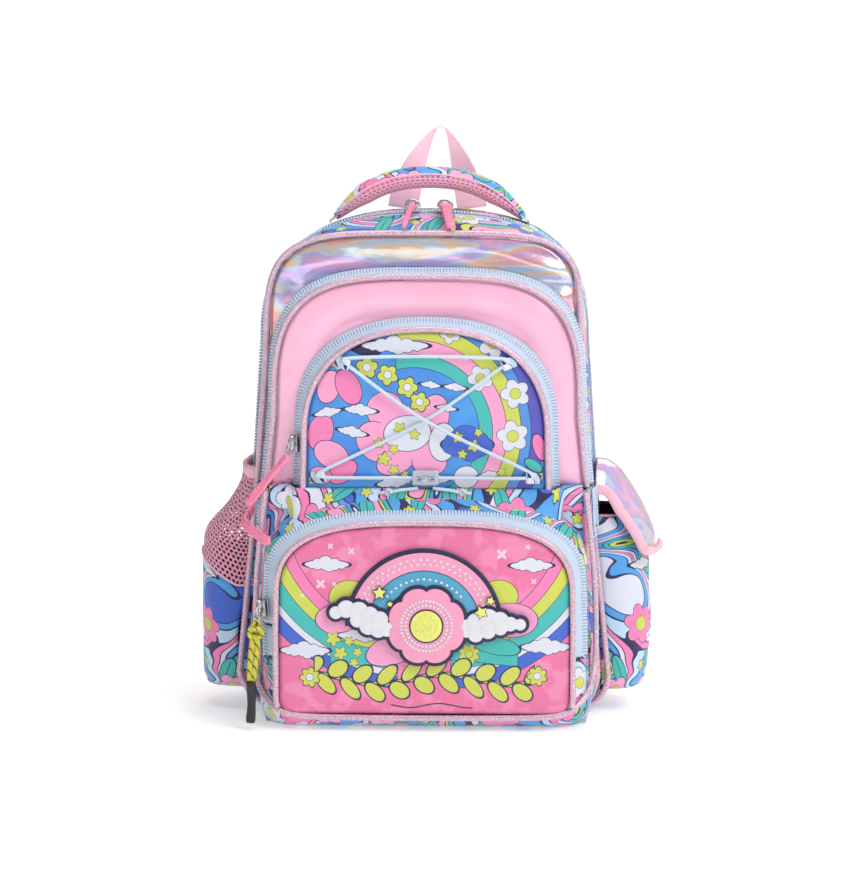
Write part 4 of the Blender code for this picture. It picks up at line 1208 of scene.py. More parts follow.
def body_cloth():
    rear = [at_depth(body_outline(y), y, N) for y in (BACK_Y, ZIP_Y + 0.003)]
    wall("cloth_rear_gusset", full_rows(rear, 10, 0.0022, 0.0012, 1.0), "print", "pack",
         ("rear_gusset",))
    front = [at_depth(body_outline(y), y, N) for y in (ZIP_Y - 0.003, FRONT_Y - 0.001)]
    wall("cloth_front_gusset", full_rows(front, 8, 0.0018, 0.0014, 4.0), "print", "front_shell",
         ("front_gusset",))
    for name, body, y0, y1, y_teeth in (
            ("rear", "pack", ZIP_Y + 0.0033, ZIP_Y + 0.0008, ZIP_Y + 0.0013),
            ("front", "front_shell", ZIP_Y - 0.0008, ZIP_Y - 0.0033, ZIP_Y - 0.0013)):
        rows = full_rows([at_depth(body_outline(y, 0.0002), y, N) for y in (y0, y1)], 2)
        wall("main_zip_tape_" + name, rows, "tape", body, thickness=0.0012)
        row = at_depth(body_outline(ZIP_Y, 0.0006), ZIP_Y, N)
        teeth("main_zip_teeth_" + name, row, outward(row), y_teeth, body, 0.0024)
    lower = [at_depth(well_outline(y), y, N) for y in (BACK_Y, ZIP_Y, FRONT_Y - 0.001)]
    rows = above_floor(full_rows(lower, 8, 0.0020, 0.0012, 2.0))
    wall("cloth_lower_shell", rows, "print", "pack", ("lower_shell",), 0.0020)
    second = [at_depth(second_well_outline(0), SECOND_BASE_Y, N),
              at_depth(second_well_outline(1), WELL_FRONT_Y - 0.001, N)]
    rows = above_floor(full_rows(second, 8, 0.0018, 0.0014, 6.0))
    wall("cloth_second_lower_shell", rows, "print", "pack", ("second_lower_shell",))
    wall_z = 2 * PIPING_OUT

    def flat(t, p):
        return 0.0008 * ruffle(p, 30.0) * (1 - t)

    panel("cloth_lower_front_wall", well_outline(FRONT_Y, 0.0, wall_z), FRONT_Y - SEAM, "print", "pack",
          ("lower_front_wall",), flat, 10, 160, (0.0, 0.10))
    panel("cloth_second_lower_wall", second_well_outline(1, 0.0, wall_z), WELL_FRONT_Y - SEAM, "print",
          "pack", ("second_lower_wall",), flat, 12, 160, (0.0, 0.10))
    piping("piping_body_lower", well_outline(FRONT_Y, PIPING_OUT, wall_z), FRONT_Y - PIPING_OUT, "pack",
           ("body_piping_lower",))
    base_run()
    fold_cushion()


def base_run():
    """The second compartment's piping sweeps forward under the pocket, over printed cloth."""
    half = [(-0.1310, -0.0626, 0.1916), (-0.1345, -0.0627, 0.160), (-0.1382, -0.0627, 0.120),
            (-0.1394, -0.0627, 0.080), (-0.1392, -0.0640, 0.058), (-0.1376, -0.0700, 0.0430),
            (-0.1346, -0.0800, 0.0315), (-0.1262, -0.0905, 0.0215), (-0.1150, -0.0962, 0.0146),
            (-0.0980, -0.0984, 0.0116), (-0.0600, -0.0990, 0.0108), (-0.0200, -0.0992, 0.0106)]
    run = smooth_path(half + [(-x, y, z) for x, y, z in half[::-1]], 14)
    tube("piping_second_lower", run, PIPING_R, "glitter", "pack", ("second_piping_lower",),
         False, 5)
    front = [p for p in run if p.z < 0.040]
    rows = []
    for share in (0.0, 0.25, 0.5, 0.75, 1.0):
        row = []
        for p in front:
            target = Vector((p.x * 0.955, min(p.y + 0.020, -0.062), 0.0004))
            q = (p + Vector((0, 0.0008, -0.0006))).lerp(target, share)
            bow = math.sin(math.pi * share) * 0.0035
            row.append(q + Vector((0.5 * bow * (1 if p.x > 0 else -1) * min(1.0, abs(p.x) / 0.12), -bow,
                                   -0.2 * bow)))
        rows.append([Vector((q.x, q.y, max(q.z, 0.0003))) for q in row])
    wall("cloth_base_front", full_rows(rows, 2, 0.0, 0.0006, 3.0), "print", "pack",
         thickness=0.0010)


def fold_cushion():
    """Padded cloth turned up along the fold, against the feet of the inner compartments."""
    inner = ((-0.0760, 0.1780), (-0.0700, 0.1826), (-0.0655, 0.1862), (-0.0637, 0.1900), (-0.0624, 0.1930),
             (-0.0602, 0.1940))
    outer = ((-0.0592, 0.1760), (-0.0596, 0.1820), (-0.0600, 0.1895), (-0.0560, 0.1934), (-0.0470, 0.1950),
             (-0.0384, 0.1944))
    rows = []
    for (y0, z0), (y1, z1) in zip(inner, outer):
        row = []
        for k in range(181):
            x = -0.1285 + 0.257 * k / 180
            t = clamped((abs(x) - 0.1065) / 0.006)
            drop = 0.052 * clamped((0.1900 - z0) / 0.012) * max(0.0, (abs(x) - 0.055) / 0.0735) ** 2.6
            p = Vector((x, y0 + (y1 - y0) * t, z0 + (z1 - z0) * t - drop * (1 - t)))
            row.append(p + Vector((0, -0.0006, 0.0005)) * ruffle(p, 60.0, 8.0))
        rows.append(row)
    wall("cloth_fold_cushion", full_rows(rows, 4), "print", "pack", thickness=0.0010)


def edge_puckers(p, t, reach=0.12, depth=0.0006):
    """The small uneven gathers where a panel is sewn to its piping."""
    near = max(0.0, 1 - (1 - t) / reach)
    return depth * near * (1 - near) * 4 * ruffle(p, 150.0, 2.0)


def front_leaf():
    def crown(t, p):
        d = min((1 - t) / 0.21, 1.0)
        crease = 0.0030 * ruffle(Vector((p.x * 0.5, 0, p.z * 1.6)), 34.0, 3.0) * math.sin(math.pi * d)
        right = clamped((p.x - 0.02) / 0.07)
        sweep = 0.0024 * right * math.sin(p.z * 290 + p.x * 70) * math.sin(math.pi * d)
        return 0.0035 * math.sin(math.pi * d) + crease + sweep + edge_puckers(p, t)

    panel("panel_holographic", body_outline(FRONT_Y), FRONT_Y - SEAM - 0.0006, "holo", "front_shell",
          ("front_panel",), crown, 44, 300)
    piping("piping_body_upper", body_outline(FRONT_Y, PIPING_OUT), FRONT_Y - PIPING_OUT, "front_shell",
           ("body_piping_upper",))


def zip_detail(name, base, front, depth, body, split, width, seams):
    """Teeth and two rows of stitching on a zip's tape, between its base row and its front row."""
    slope = [((n * depth) + Vector((0, -(q - p).length, 0))).normalized()
             for p, q, n in zip(base, front, outward(base))]
    row = [a.lerp(b, split) + s * 0.0004 for a, b, s in zip(base, front, slope)]
    teeth(name + "_teeth", row, slope, None, body, width)
    for k, share in enumerate(seams):
        line = [a.lerp(b, share) + s * 0.0003 for a, b, s in zip(base, front, slope)]
        stitches(f"{name}_stitch_{k}", line, body, "pale_thread")


def zip_band(name, outline, y_base, y_front, body):
    """A zip over an arch: tape from base to front, and teeth a third of the way along it."""
    rows = [at_depth(outline(0), y_base, N), at_depth(outline(1), y_front, N)]
    rows = full_rows(rows, 8, 0.0008, 0.0004, 8.0)
    wall(name + "_tape", rows, "tape", body, (name,), 0.0014)
    zip_detail(name, rows[0], rows[-1], y_base - y_front, body, 0.30, 0.0056, (0.62, 0.90))


def second_leaf():
    zip_band("second_zip", second_outline, SECOND_BASE_Y, SECOND_Y, "second_shell")

    def crown(t, p):
        d = min((1 - t) / 0.26, 1.0)
        fold = 0.0014 * ruffle(Vector((p.x, 0, p.z)), 22.0, 9.0) * math.sin(math.pi * d)
        return 0.0034 * math.sin(math.pi * d) + fold + edge_puckers(p, t, 0.10, 0.0005)

    panel("panel_gloss_pink", second_outline(1), SECOND_Y - SEAM - 0.0006, "gloss", "second_shell",
          ("second_panel",), crown, 40, 280, (0.0, 0.25))
    piping("piping_second", second_outline(1, PIPING_OUT), SECOND_Y - PIPING_OUT, "second_shell",
           ("second_piping",))


PANEL_FRONT = BUNGEE_Y - SEAM - 0.002
CORD_Y = PANEL_FRONT - 0.0038


def bungee_leaf():
    zip_band("bungee_zip", bungee_outline, BUNGEE_BASE_Y, BUNGEE_Y, "bungee_shell")

    def crown(t, p):
        fold = 0.0008 * ruffle(p, 40.0, 5.0) * (1 - t ** 4)
        return 0.0016 * (1 - t ** 3) + fold + edge_puckers(p, t, 0.14, 0.0005)

    panel("panel_bungee", bungee_outline(1), BUNGEE_Y - SEAM - 0.0006, "bungee_print", "bungee_shell",
          ("bungee_panel",), crown, 30, 220, (0.0, 0.25))
    piping("piping_bungee", bungee_outline(1, PIPING_OUT), BUNGEE_Y - PIPING_OUT, "bungee_shell",
           ("bungee_piping",))


def lower_pocket():
    rows = [at_depth(pocket_outline(y), y, N, True) for y in (POCKET_BASE_Y, POCKET_ZIP_Y)]
    wall("cloth_pocket_gusset", full_rows(rows, 6, 0.0012, 0.0010, 3.0, True), "print", "pack",
         ("pocket_gusset",), closed=True)
    over, under, zip_end_z = [], [], 0.0585
    for y in (POCKET_ZIP_Y, POCKET_Y):
        row = at_depth(pocket_outline(y), y, 360, True)
        over.append([p for p in row if p.z > zip_end_z])
        low = [p for p in row if p.z <= zip_end_z]
        start = max(range(len(low)), key=lambda i: (low[i].x > 0, low[i].z))
        under.append(low[start:] + low[:start])
    over, under = [resample(row, N) for row in over], [resample(row, 120) for row in under]
    wall("pocket_zip_tape", full_rows(over, 6, 0.0006), "tape", "pack", ("pocket_zip",), 0.0014)
    wall("cloth_pocket_base", full_rows(under, 4, 0.0006), "print", "pack",
         ("pocket_base_gusset",), 0.0014)
    zip_detail("pocket_zip", *over, POCKET_ZIP_Y - POCKET_Y, "pack", 0.20, 0.0054, (0.52, 0.90))

    def crown(t, p):
        fold = 0.0012 * ruffle(p, 20.0, 7.0) * (1 - t ** 4)
        return 0.0036 * (1 - t ** 4) + fold + edge_puckers(p, t, 0.12, 0.0009)

    panel("panel_pocket", pocket_front_outline(), POCKET_Y - 0.0022, "pocket_print", "pocket_front",
          ("pocket_panel",), crown, 30, 260, (0.0, 0.088))
    row = at_depth(pocket_front_outline(PIPING_OUT), POCKET_Y - PIPING_OUT, 400, True)
    low = [i for i, p in enumerate(row) if p.z <= 0.0185]
    tube("piping_pocket", row[low[-1] + 1:] + row[:low[0]], PIPING_R, "glitter", "pocket_front",
         ("pocket_piping",), False, 5)


def second_zip_tail():
    """The outer zip runs on below the fold and ends in a sewn tab."""
    for side in (-1, 1):
        rows = []
        for y, inset in ((SECOND_BASE_Y - 0.0006, 0.0006), (SECOND_Y, 0.0010)):
            t = (SECOND_BASE_Y - y) / (SECOND_BASE_Y - WELL_FRONT_Y)
            top_x, low_x = second_waist(t), second_hips(t)
            row = []
            for k in range(13):
                z = 0.1905 - 0.0365 * k / 12
                x = top_x + (low_x - top_x) * (0.192 - z) / 0.160
                row.append(Vector((side * (x + inset + 0.0014), y, z)))
            rows.append(row)
        band = full_rows(rows, 6, 0.0003)
        name = "right" if side > 0 else "left"
        wall("second_zip_end_" + name, band, "tape", "pack", thickness=0.0010)
        out = [Vector((side, 0.22, 0)).normalized()] * 13
        teeth("second_zip_end_teeth_" + name, [a.lerp(b, 0.30) for a, b in zip(*rows)], out, None, "pack",
              0.0056)
        tab = [[p + Vector((side * 0.0010, 0, 0)) for p in row[9:]] for row in rows]
        tab = [[p + Vector((0, 0, -0.004)) for p in row] for row in tab]
        wall("second_zip_tab_" + name, full_rows(tab, 3, 0.0004), "print", "pack",
             thickness=0.0012)


# ---------------------------------------------------------------- sliders and pulls


def tube_mesh(points, radius, sides=8, closed=False):
    """(vertices, faces) of a tube, for merging into a larger piece."""
    count, verts, faces = len(points), [], []
    up = Vector((0.3, 0.2, 1.0))
    for i, p in enumerate(points):
        before = points[i - 1] if i or closed else p
        after = points[(i + 1) % count] if i < count - 1 or closed else p
        along = (after - before).normalized()
        side = along.cross(up).normalized()
        top = side.cross(along)
        for k in range(sides):
            a = 2 * math.pi * k / sides
            verts.append(p + side * radius * math.cos(a) + top * radius * math.sin(a))
    for i in range(count if closed else count - 1):
        j = (i + 1) % count
        for k in range(sides):
            m = (k + 1) % sides
            faces.append((i * sides + k, i * sides + m, j * sides + m, j * sides + k))
    if not closed:
        faces.append(tuple(range(sides))[::-1])
        faces.append(tuple(range((count - 1) * sides, count * sides)))
    return verts, faces


def slab(outline, low, high, bevel=0.0005):
    """(vertices, faces) of a flat plate between two heights, with rounded edges."""
    work = bmesh.new()
    face = work.faces.new([work.verts.new((x, y, low)) for x, y in outline])
    grown = bmesh.ops.extrude_face_region(work, geom=[face])
    bmesh.ops.translate(work, vec=(0, 0, high - low),
                        verts=[v for v in grown["geom"] if isinstance(v, bmesh.types.BMVert)])
    bmesh.ops.recalc_face_normals(work, faces=work.faces)
    bmesh.ops.bevel(work, geom=work.edges[:], offset=bevel, segments=2, affect="EDGES", profile=0.6)
    return lists_from(work)


def slider(name, node, centre, travel, out, size, link_to):
    """A zip slider: two shield plates joined at the nose, an arched bridge and a ring for the pull."""
    length, width, thick = size
    shield = [(length * x, width * y) for x, y in
              ((-0.50, -0.30), (-0.42, -0.40), (-0.10, -0.42), (0.22, -0.50), (0.42, -0.44), (0.50, -0.24),
               (0.50, 0.24), (0.42, 0.44), (0.22, 0.50), (-0.10, 0.42), (-0.42, 0.40), (-0.50, 0.30))]
    parts = [slab(shield, -thick * 0.48, -thick * 0.24), slab(shield, thick * 0.06, thick * 0.34)]
    nose = [(length * x, width * y) for x, y in ((0.20, -0.12), (0.47, -0.10), (0.47, 0.10), (0.20, 0.12))]
    parts.append(slab(nose, -thick * 0.30, thick * 0.12, 0.0003))
    bridge = [Vector((length * 0.40 * math.cos(a), 0, thick * (0.30 + 0.62 * math.sin(a))))
              for a in (math.pi * k / 14 for k in range(15))]
    parts.append(tube_mesh(bridge, width * 0.11))
    base = Matrix.Identity(4)
    along, up = travel.normalized(), (out - travel.normalized() * out.dot(travel.normalized())).normalized()
    side = up.cross(along)
    for r in range(3):
        base[r][0], base[r][1], base[r][2], base[r][3] = along[r], side[r], up[r], centre[r]
    meshes = [placed(part, base) for part in parts]
    hook = base @ Vector((0, 0, thick * 0.86))
    reach = link_to - hook
    middle = hook + reach * 0.5
    across = reach.cross(up).normalized()
    link = [middle + reach * 0.62 * math.cos(a) + across * width * 0.26 * math.sin(a)
            for a in turns(20)]
    meshes.append(tube_mesh(link, 0.0008, 6, True))
    return merged(name, meshes, "metal", node, (node,))


def pull_strap(name, node, points, across, width, thick):
    """A flat silicone pull: a looped head, a raised rim and a row of small studs on its face."""
    path = smooth_path(points, 14)
    count = len(path)
    widths = []
    for i in range(count):
        t = i / (count - 1)
        head = math.exp(-((t - 0.06) / 0.09) ** 2) * 0.35
        tip = min(1.0, math.sqrt(max(0.0, 1 - max(0.0, (t - 0.93) / 0.07) ** 2)) + 0.15)
        start = min(1.0, 0.55 + t / 0.08)
        widths.append(width * (1 + head) * tip * start)
    thicks = [thick * (1.0 if i > count * 0.14 else 1.45) for i in range(count)]
    sections = ribbon_sections(path, across, widths, thicks, 0.9, 20)
    swept(name, sections, "soft_pink", node, (node,))

    def axes(i):
        along = (path[i + 1] - path[i - 1]).normalized()
        side = (across - along * across.dot(along)).normalized()
        normal = along.cross(side)
        return along, side, -normal if normal.y > 0 else normal

    rim = []
    for sign in (-1, 1):
        for i in range(int(count * 0.2), int(count * 0.93)):
            _, side, normal = axes(i)
            rim.append(path[i] + side * sign * widths[i] * 0.36 + normal * thick * 0.50)
        rim = rim if sign > 0 else rim[::-1]
    meshes = [tube_mesh(rim, 0.00045, 6, True)]
    stud = template((0.0016, 0.0016, 0.0012), 0.0005)
    for i in range(int(count * 0.27), int(count * 0.90), 3):
        along, _, normal = axes(i)
        meshes.append(placed(stud, frame_at(path[i] + normal * thick * 0.52, along, normal)))
    merged(name + "_relief", meshes, "soft_pink", node)


def sliders_and_pulls():
    for name, side in SIDES:
        centre = Vector((side * 0.0135, ZIP_Y, BODY_TOP + 0.0042))
        start = Vector((side * 0.0135, ZIP_Y - 0.0085, BODY_TOP + 0.0064))
        slider("slider_main_" + name, "main_slider_" + name, centre, Vector((side, 0, 0)), Vector((0, 0, 1)),
               (0.0135, 0.0105, 0.0066), start)
        wide, thick = (0.0042, 0.0036) if side < 0 else (0.0078, 0.0040)
        points = [start, (side * 0.0155, ZIP_Y - 0.022, BODY_TOP + 0.0022),
                  (side * 0.0195, ZIP_Y - 0.046, BODY_TOP - 0.0075)]
        pull_strap("pull_main_" + name, "main_pull_" + name, points, Vector((1, 0, 0)), wide, thick)

    start = Vector((-0.1125, -0.0600, 0.2205))
    slider("slider_bungee", "bungee_slider", Vector((-0.1072, -0.0520, 0.2290)), Vector((-0.04, 0, -1)),
           Vector((-0.76, -0.64, 0)), (0.0155, 0.0110, 0.0062), start)
    pull_strap("pull_bungee", "bungee_pull", [start, (-0.1290, -0.0645, 0.2010), (-0.1460, -0.0670, 0.1800)],
               Vector((0.7, 0, 0.7)), 0.0078, 0.0030)
    start = Vector((-0.1430, -0.0385, 0.1730))
    slider("slider_second", "second_slider", Vector((-0.1396, -0.0300, 0.1830)), Vector((-0.045, 0, -1)),
           Vector((-0.98, -0.17, 0)), (0.0150, 0.0100, 0.0054), start)
    pull_strap("pull_second", "second_pull", [start, (-0.1485, -0.0610, 0.1650), (-0.1260, -0.0905, 0.1525)],
               Vector((0.3, 0.5, 0.9)), 0.0076, 0.0028)
    start = Vector((-0.1360, -0.0960, 0.0890))
    slider("slider_pocket", "pocket_slider", Vector((-0.1322, -0.0905, 0.0990)), Vector((0.02, 0, -1)),
           Vector((-0.67, -0.74, 0)), (0.0160, 0.0112, 0.0062), start)
    cord_pull()


def cord_pull():
    """The pocket's pull: flecked cord tied in a knot under the slider, its doubled end in a black sleeve."""
    top, knot = Vector((-0.1360, -0.0960, 0.0905)), Vector((-0.1372, -0.0968, 0.0815))
    low = Vector((-0.1412, -0.0965, 0.0365))
    foot = Vector((-0.1418, -0.0960, 0.0055))
    loop = smooth_path([top, knot + Vector((0.0032, -0.0010, 0.0030)), knot], 6)
    other = smooth_path([top, knot + Vector((-0.0028, 0.0008, 0.0030)), knot], 6)
    meshes = [tube_mesh(loop, 0.0014, 8), tube_mesh(other, 0.0014, 8)]
    wound = []
    for a in turns(60):
        wound.append(knot + Vector((0.0042 * math.sin(2 * a) + 0.0012 * math.sin(a), 0.0030 * math.cos(3 * a),
                                    0.0052 * math.cos(2 * a) * (0.8 + 0.2 * math.cos(a)) - 0.001)))
    meshes.append(tube_mesh(wound, 0.0019, 8, True))
    for shift in (-0.0017, 0.0017):
        run = smooth_path([knot + Vector((shift, 0, -0.003)),
                           (knot + low) / 2 + Vector((shift * 1.4, 0.0004, 0)),
                           low + Vector((shift * 0.9, 0, 0))], 10)
        meshes.append(tube_mesh(run, 0.0022, 10))
    merged("cord_pull", meshes, "flecked", "pocket_pull", ("pocket_pull",))
    path = smooth_path([low + Vector((0, 0, 0.004)), (low + foot) / 2 + Vector((0.0006, 0, 0)), foot], 12)
    radii = []
    for i in range(len(path)):
        t = i / (len(path) - 1)
        radii.append(0.0074 * (1.0 + 0.06 * math.sin(t * 9)) * (0.86 if t < 0.03 or t > 0.97 else 1.0))
    sections = ribbon_sections(path, Vector((1, 0, 0)), radii, [r * 0.92 for r in radii], 1.0, 18)
    swept("cord_pull_sleeve", sections, "black", "pocket_pull")


# ---------------------------------------------------------------- the laced elastic

LOOPS = {"top_left": (-0.0660, 0.2965), "top_right": (0.0660, 0.2965),
         "low_left": (-0.0860, 0.2030), "low_right": (0.0860, 0.2030)}


def lacing():
    inset, lift = 0.004, 0.0022
    low_l, low_r, top_l, top_r = (LOOPS[k] for k in ("low_left", "low_right", "top_left", "top_right"))
    corners = [
        (0.0, CORD_Y, low_l[1]), (low_l[0] + inset, CORD_Y, low_l[1]),
        (low_l[0] + inset * 0.2, CORD_Y, low_l[1] + inset * 0.9),
        (low_l[0] + inset * 1.6, CORD_Y, low_l[1] + inset * 1.9),
        (0.0, CORD_Y + 0.0012, (low_l[1] + top_r[1]) / 2 + 0.0006),
        (top_r[0] - inset * 1.6, CORD_Y, top_r[1] - inset * 1.0),
        (top_r[0] - inset * 0.2, CORD_Y, top_r[1] + inset * 0.2),
        (top_r[0] - inset * 1.4, CORD_Y, top_r[1] + inset * 1.2),
        (0.0, CORD_Y - 0.0006, top_r[1] + inset * 1.6),
        (top_l[0] + inset * 1.4, CORD_Y, top_l[1] + inset * 1.2),
        (top_l[0] + inset * 0.2, CORD_Y, top_l[1] + inset * 0.2),
        (top_l[0] + inset * 1.6, CORD_Y, top_l[1] - inset * 1.0),
        (0.0, CORD_Y - lift, (low_r[1] + top_l[1]) / 2 + 0.0006),
        (low_r[0] - inset * 1.6, CORD_Y, low_r[1] + inset * 1.9),
        (low_r[0] - inset * 0.2, CORD_Y, low_r[1] + inset * 0.9), (low_r[0] - inset, CORD_Y, low_r[1])]
    path = smooth_path(corners + corners[:1], 10)[:-1]
    tube("elastic_lacing", path, 0.00145, "elastic", "bungee_shell", ("bungee_cord",), True,
         5)
    for name, (x, z) in LOOPS.items():
        cord_tab("tab_" + name, "cord_loop_" + name, x, z, name)
    cord_lock()


def cord_tab(name, node, x, z, where):
    """A folded cloth tab sewn to the panel's edge, with the elastic through its fold."""
    away = Vector((-1 if x < 0 else 1, 0, 0.35 if "top" in where else -0.1)).normalized()
    root = Vector((x, BUNGEE_Y - 0.0032, z)) + away * 0.0090
    eye = Vector((x, CORD_Y, z)) - away * 0.0018
    path = smooth_path([root, root - away * 0.004 + Vector((0, -0.0006, 0)), eye + Vector((0, -0.0020, 0)),
                        eye - away * 0.0022, eye + Vector((0, 0.0020, 0)),
                        root - away * 0.004 + Vector((0, 0.0004, 0)), root + Vector((0, 0.0006, 0))], 5)
    across = Vector((-away.z, 0, away.x))
    swept(name, ribbon_sections(path, across, 0.0092, 0.0007, 0.8, 10), "print", "bungee_shell",
          (node,))
    box = [root - away * 0.0010 + across * 0.0034, root - away * 0.0044 + across * 0.0034,
           root - away * 0.0044 - across * 0.0034, root - away * 0.0010 - across * 0.0034]
    box = [p + Vector((0, -0.0016, 0)) for p in box + box[:1]]
    stitches(name + "_stitch", box, "bungee_shell", "thread", 0.0013, 0.0007, 0.00022)


def cord_lock():
    z = LOOPS["low_left"][1]
    body = template((0.0216, 0.0060, 0.0124), 0.0020, 4)
    work = bmesh.new()
    for v in body[0]:
        work.verts.new(v + Vector((0, CORD_Y, z)))
    work.verts.ensure_lookup_table()
    for f in body[1]:
        work.faces.new([work.verts[i] for i in f])
    lock = add("lock_body", mesh_from(work, "lock_body"), "clear", "cord_lock",
               ("cord_lock",))
    cutters = []
    for x in (-0.0052, 0.0052):
        bpy.ops.mesh.primitive_cylinder_add(radius=0.0021, depth=0.02, vertices=28, location=(x, CORD_Y, z),
                                            rotation=(math.pi / 2, 0, 0))
        cutters.append(bpy.context.object)
    bpy.ops.mesh.primitive_cylinder_add(radius=0.0018, depth=0.04, vertices=24,
                                        location=(0, CORD_Y, z - 0.0002),
                                        rotation=(0, math.pi / 2, 0))
    cutters.append(bpy.context.object)
    for cutter in cutters:
        cut = lock.modifiers.new("hole", "BOOLEAN")
        cut.operation, cut.object, cut.solver = "DIFFERENCE", cutter, "EXACT"
    bpy.context.view_layer.update()
    finished = bpy.data.meshes.new_from_object(lock.evaluated_get(bpy.context.evaluated_depsgraph_get()))
    lock.modifiers.clear()
    lock.data = finished
    lock.data.materials.clear()
    lock.data.materials.append(LOOKS["clear"])
    for cutter in cutters:
        bpy.data.objects.remove(cutter)
    rims = []
    for x in (-0.0052, 0.0052):
        rim = [Vector((x + 0.0025 * math.cos(a), CORD_Y - 0.0031, z + 0.0025 * math.sin(a)))
               for a in turns(24)]
        rims.append(tube_mesh(rim, 0.0005, 6, True))
    merged("lock_rims", rims, "clear", "cord_lock")
    for name, side in SIDES:
        start = Vector((side * 0.0060, CORD_Y, z - 0.0083))
        route = [start, (side * 0.0100, CORD_Y - 0.0004, z - 0.0090),
                 (side * 0.0190, CORD_Y - 0.0008, z - 0.0100),
                 (side * 0.0285, CORD_Y - 0.0006, z - 0.0118), (side * 0.0375, CORD_Y, z - 0.0128)]
        path = smooth_path(route, 5)
        tail = tube("elastic_tail_" + name, path, 0.00145, "elastic", "cord_lock",
                    ("cord_tail_" + name,))
        knot = path[-5]
        wound = [knot + Vector((0.0020 * math.sin(2 * a), 0.0019 * math.cos(3 * a), 0.0023 * math.cos(2 * a)))
                 for a in turns(40)]
        tied = merged("elastic_knot_" + name, [tube_mesh(wound, 0.0012, 8, True)], "elastic", "cord_lock")
        length = sum((b - a).length for a, b in zip(path, path[1:]))


# ---------------------------------------------------------------- the rubber patch


def relief(name, outline, y_back, y_front, look, bevel=0.0005, node=None):
    """A flat moulded shape in (x, z), standing from y_back to y_front."""
    part = slab(outline, 0.0, abs(y_front - y_back), bevel)
    verts = [Vector((v.x, y_back - v.z, v.y)) for v in part[0]]
    return merged(name, [(verts, [f[::-1] for f in part[1]])], look, "pocket_front",
                  (node,) if node else ())


def lobed(centre, radius, petals, depth):
    """A round flower's outline."""
    made = []
    for a in turns(96):
        r = radius * (1 - depth + depth * abs(math.sin(petals * a / 2)) ** 0.6)
        made.append((centre[0] + r * math.cos(a), centre[1] + r * math.sin(a)))
    return made


def cloud_relief(name, discs, y_back, y_front, look, grow=0.0):
    """Overlapping round plates that read as one moulded cloud."""
    parts = []
    for k, (x, z, r) in enumerate(discs):
        step = 0.00012 * (k % 5) + 0.00004 * k
        shape = [(x + (r + grow) * math.cos(a), z + (r + grow) * math.sin(a))
                 for a in turns(40)]
        verts, faces = slab(shape, 0.0, abs(y_front - y_back), 0.0006)
        parts.append(([Vector((v.x, y_back - v.z - step, v.y)) for v in verts], [f[::-1] for f in faces]))
    return merged(name, parts, look, "pocket_front")


def arc_band(centre_z, outer, inner, steps=48):
    """The outline of a half ring, open below."""
    angles = [math.radians(180.0 - 180.0 * k / steps) for k in range(steps + 1)]
    return ([(outer * math.cos(a), centre_z + outer * math.sin(a)) for a in angles]
            + [(inner * math.cos(a), centre_z + inner * math.sin(a)) for a in angles[::-1]])


def grown(outline, amount):
    """An outline moved outwards by an amount."""
    count = len(outline)
    made = []
    area = sum(a[0] * b[1] - b[0] * a[1] for a, b in zip(outline, outline[1:] + outline[:1]))
    sign = 1 if area > 0 else -1
    for i, p in enumerate(outline):
        a, b = Vector(outline[i - 1]), Vector(outline[(i + 1) % count])
        along = (b - a).normalized()
        made.append((p[0] + along.y * amount * sign, p[1] - along.x * amount * sign))
    return made


CLOUDS = {
    "left": ((-0.0715, 0.0985, 0.0052), (-0.0630, 0.1015, 0.0072), (-0.0530, 0.0995, 0.0080),
             (-0.0440, 0.0965, 0.0072), (-0.0360, 0.0930, 0.0070), (-0.0540, 0.0925, 0.0060),
             (-0.0450, 0.0880, 0.0075), (-0.0370, 0.0850, 0.0068), (-0.0300, 0.0850, 0.0060)),
    "right": ((0.0350, 0.0860, 0.0075), (0.0430, 0.0905, 0.0085), (0.0520, 0.0935, 0.0088),
              (0.0615, 0.0925, 0.0074), (0.0700, 0.0900, 0.0060), (0.0780, 0.0895, 0.0048),
              (0.0420, 0.0810, 0.0062), (0.0520, 0.0840, 0.0064), (0.0620, 0.0865, 0.0058)),
}


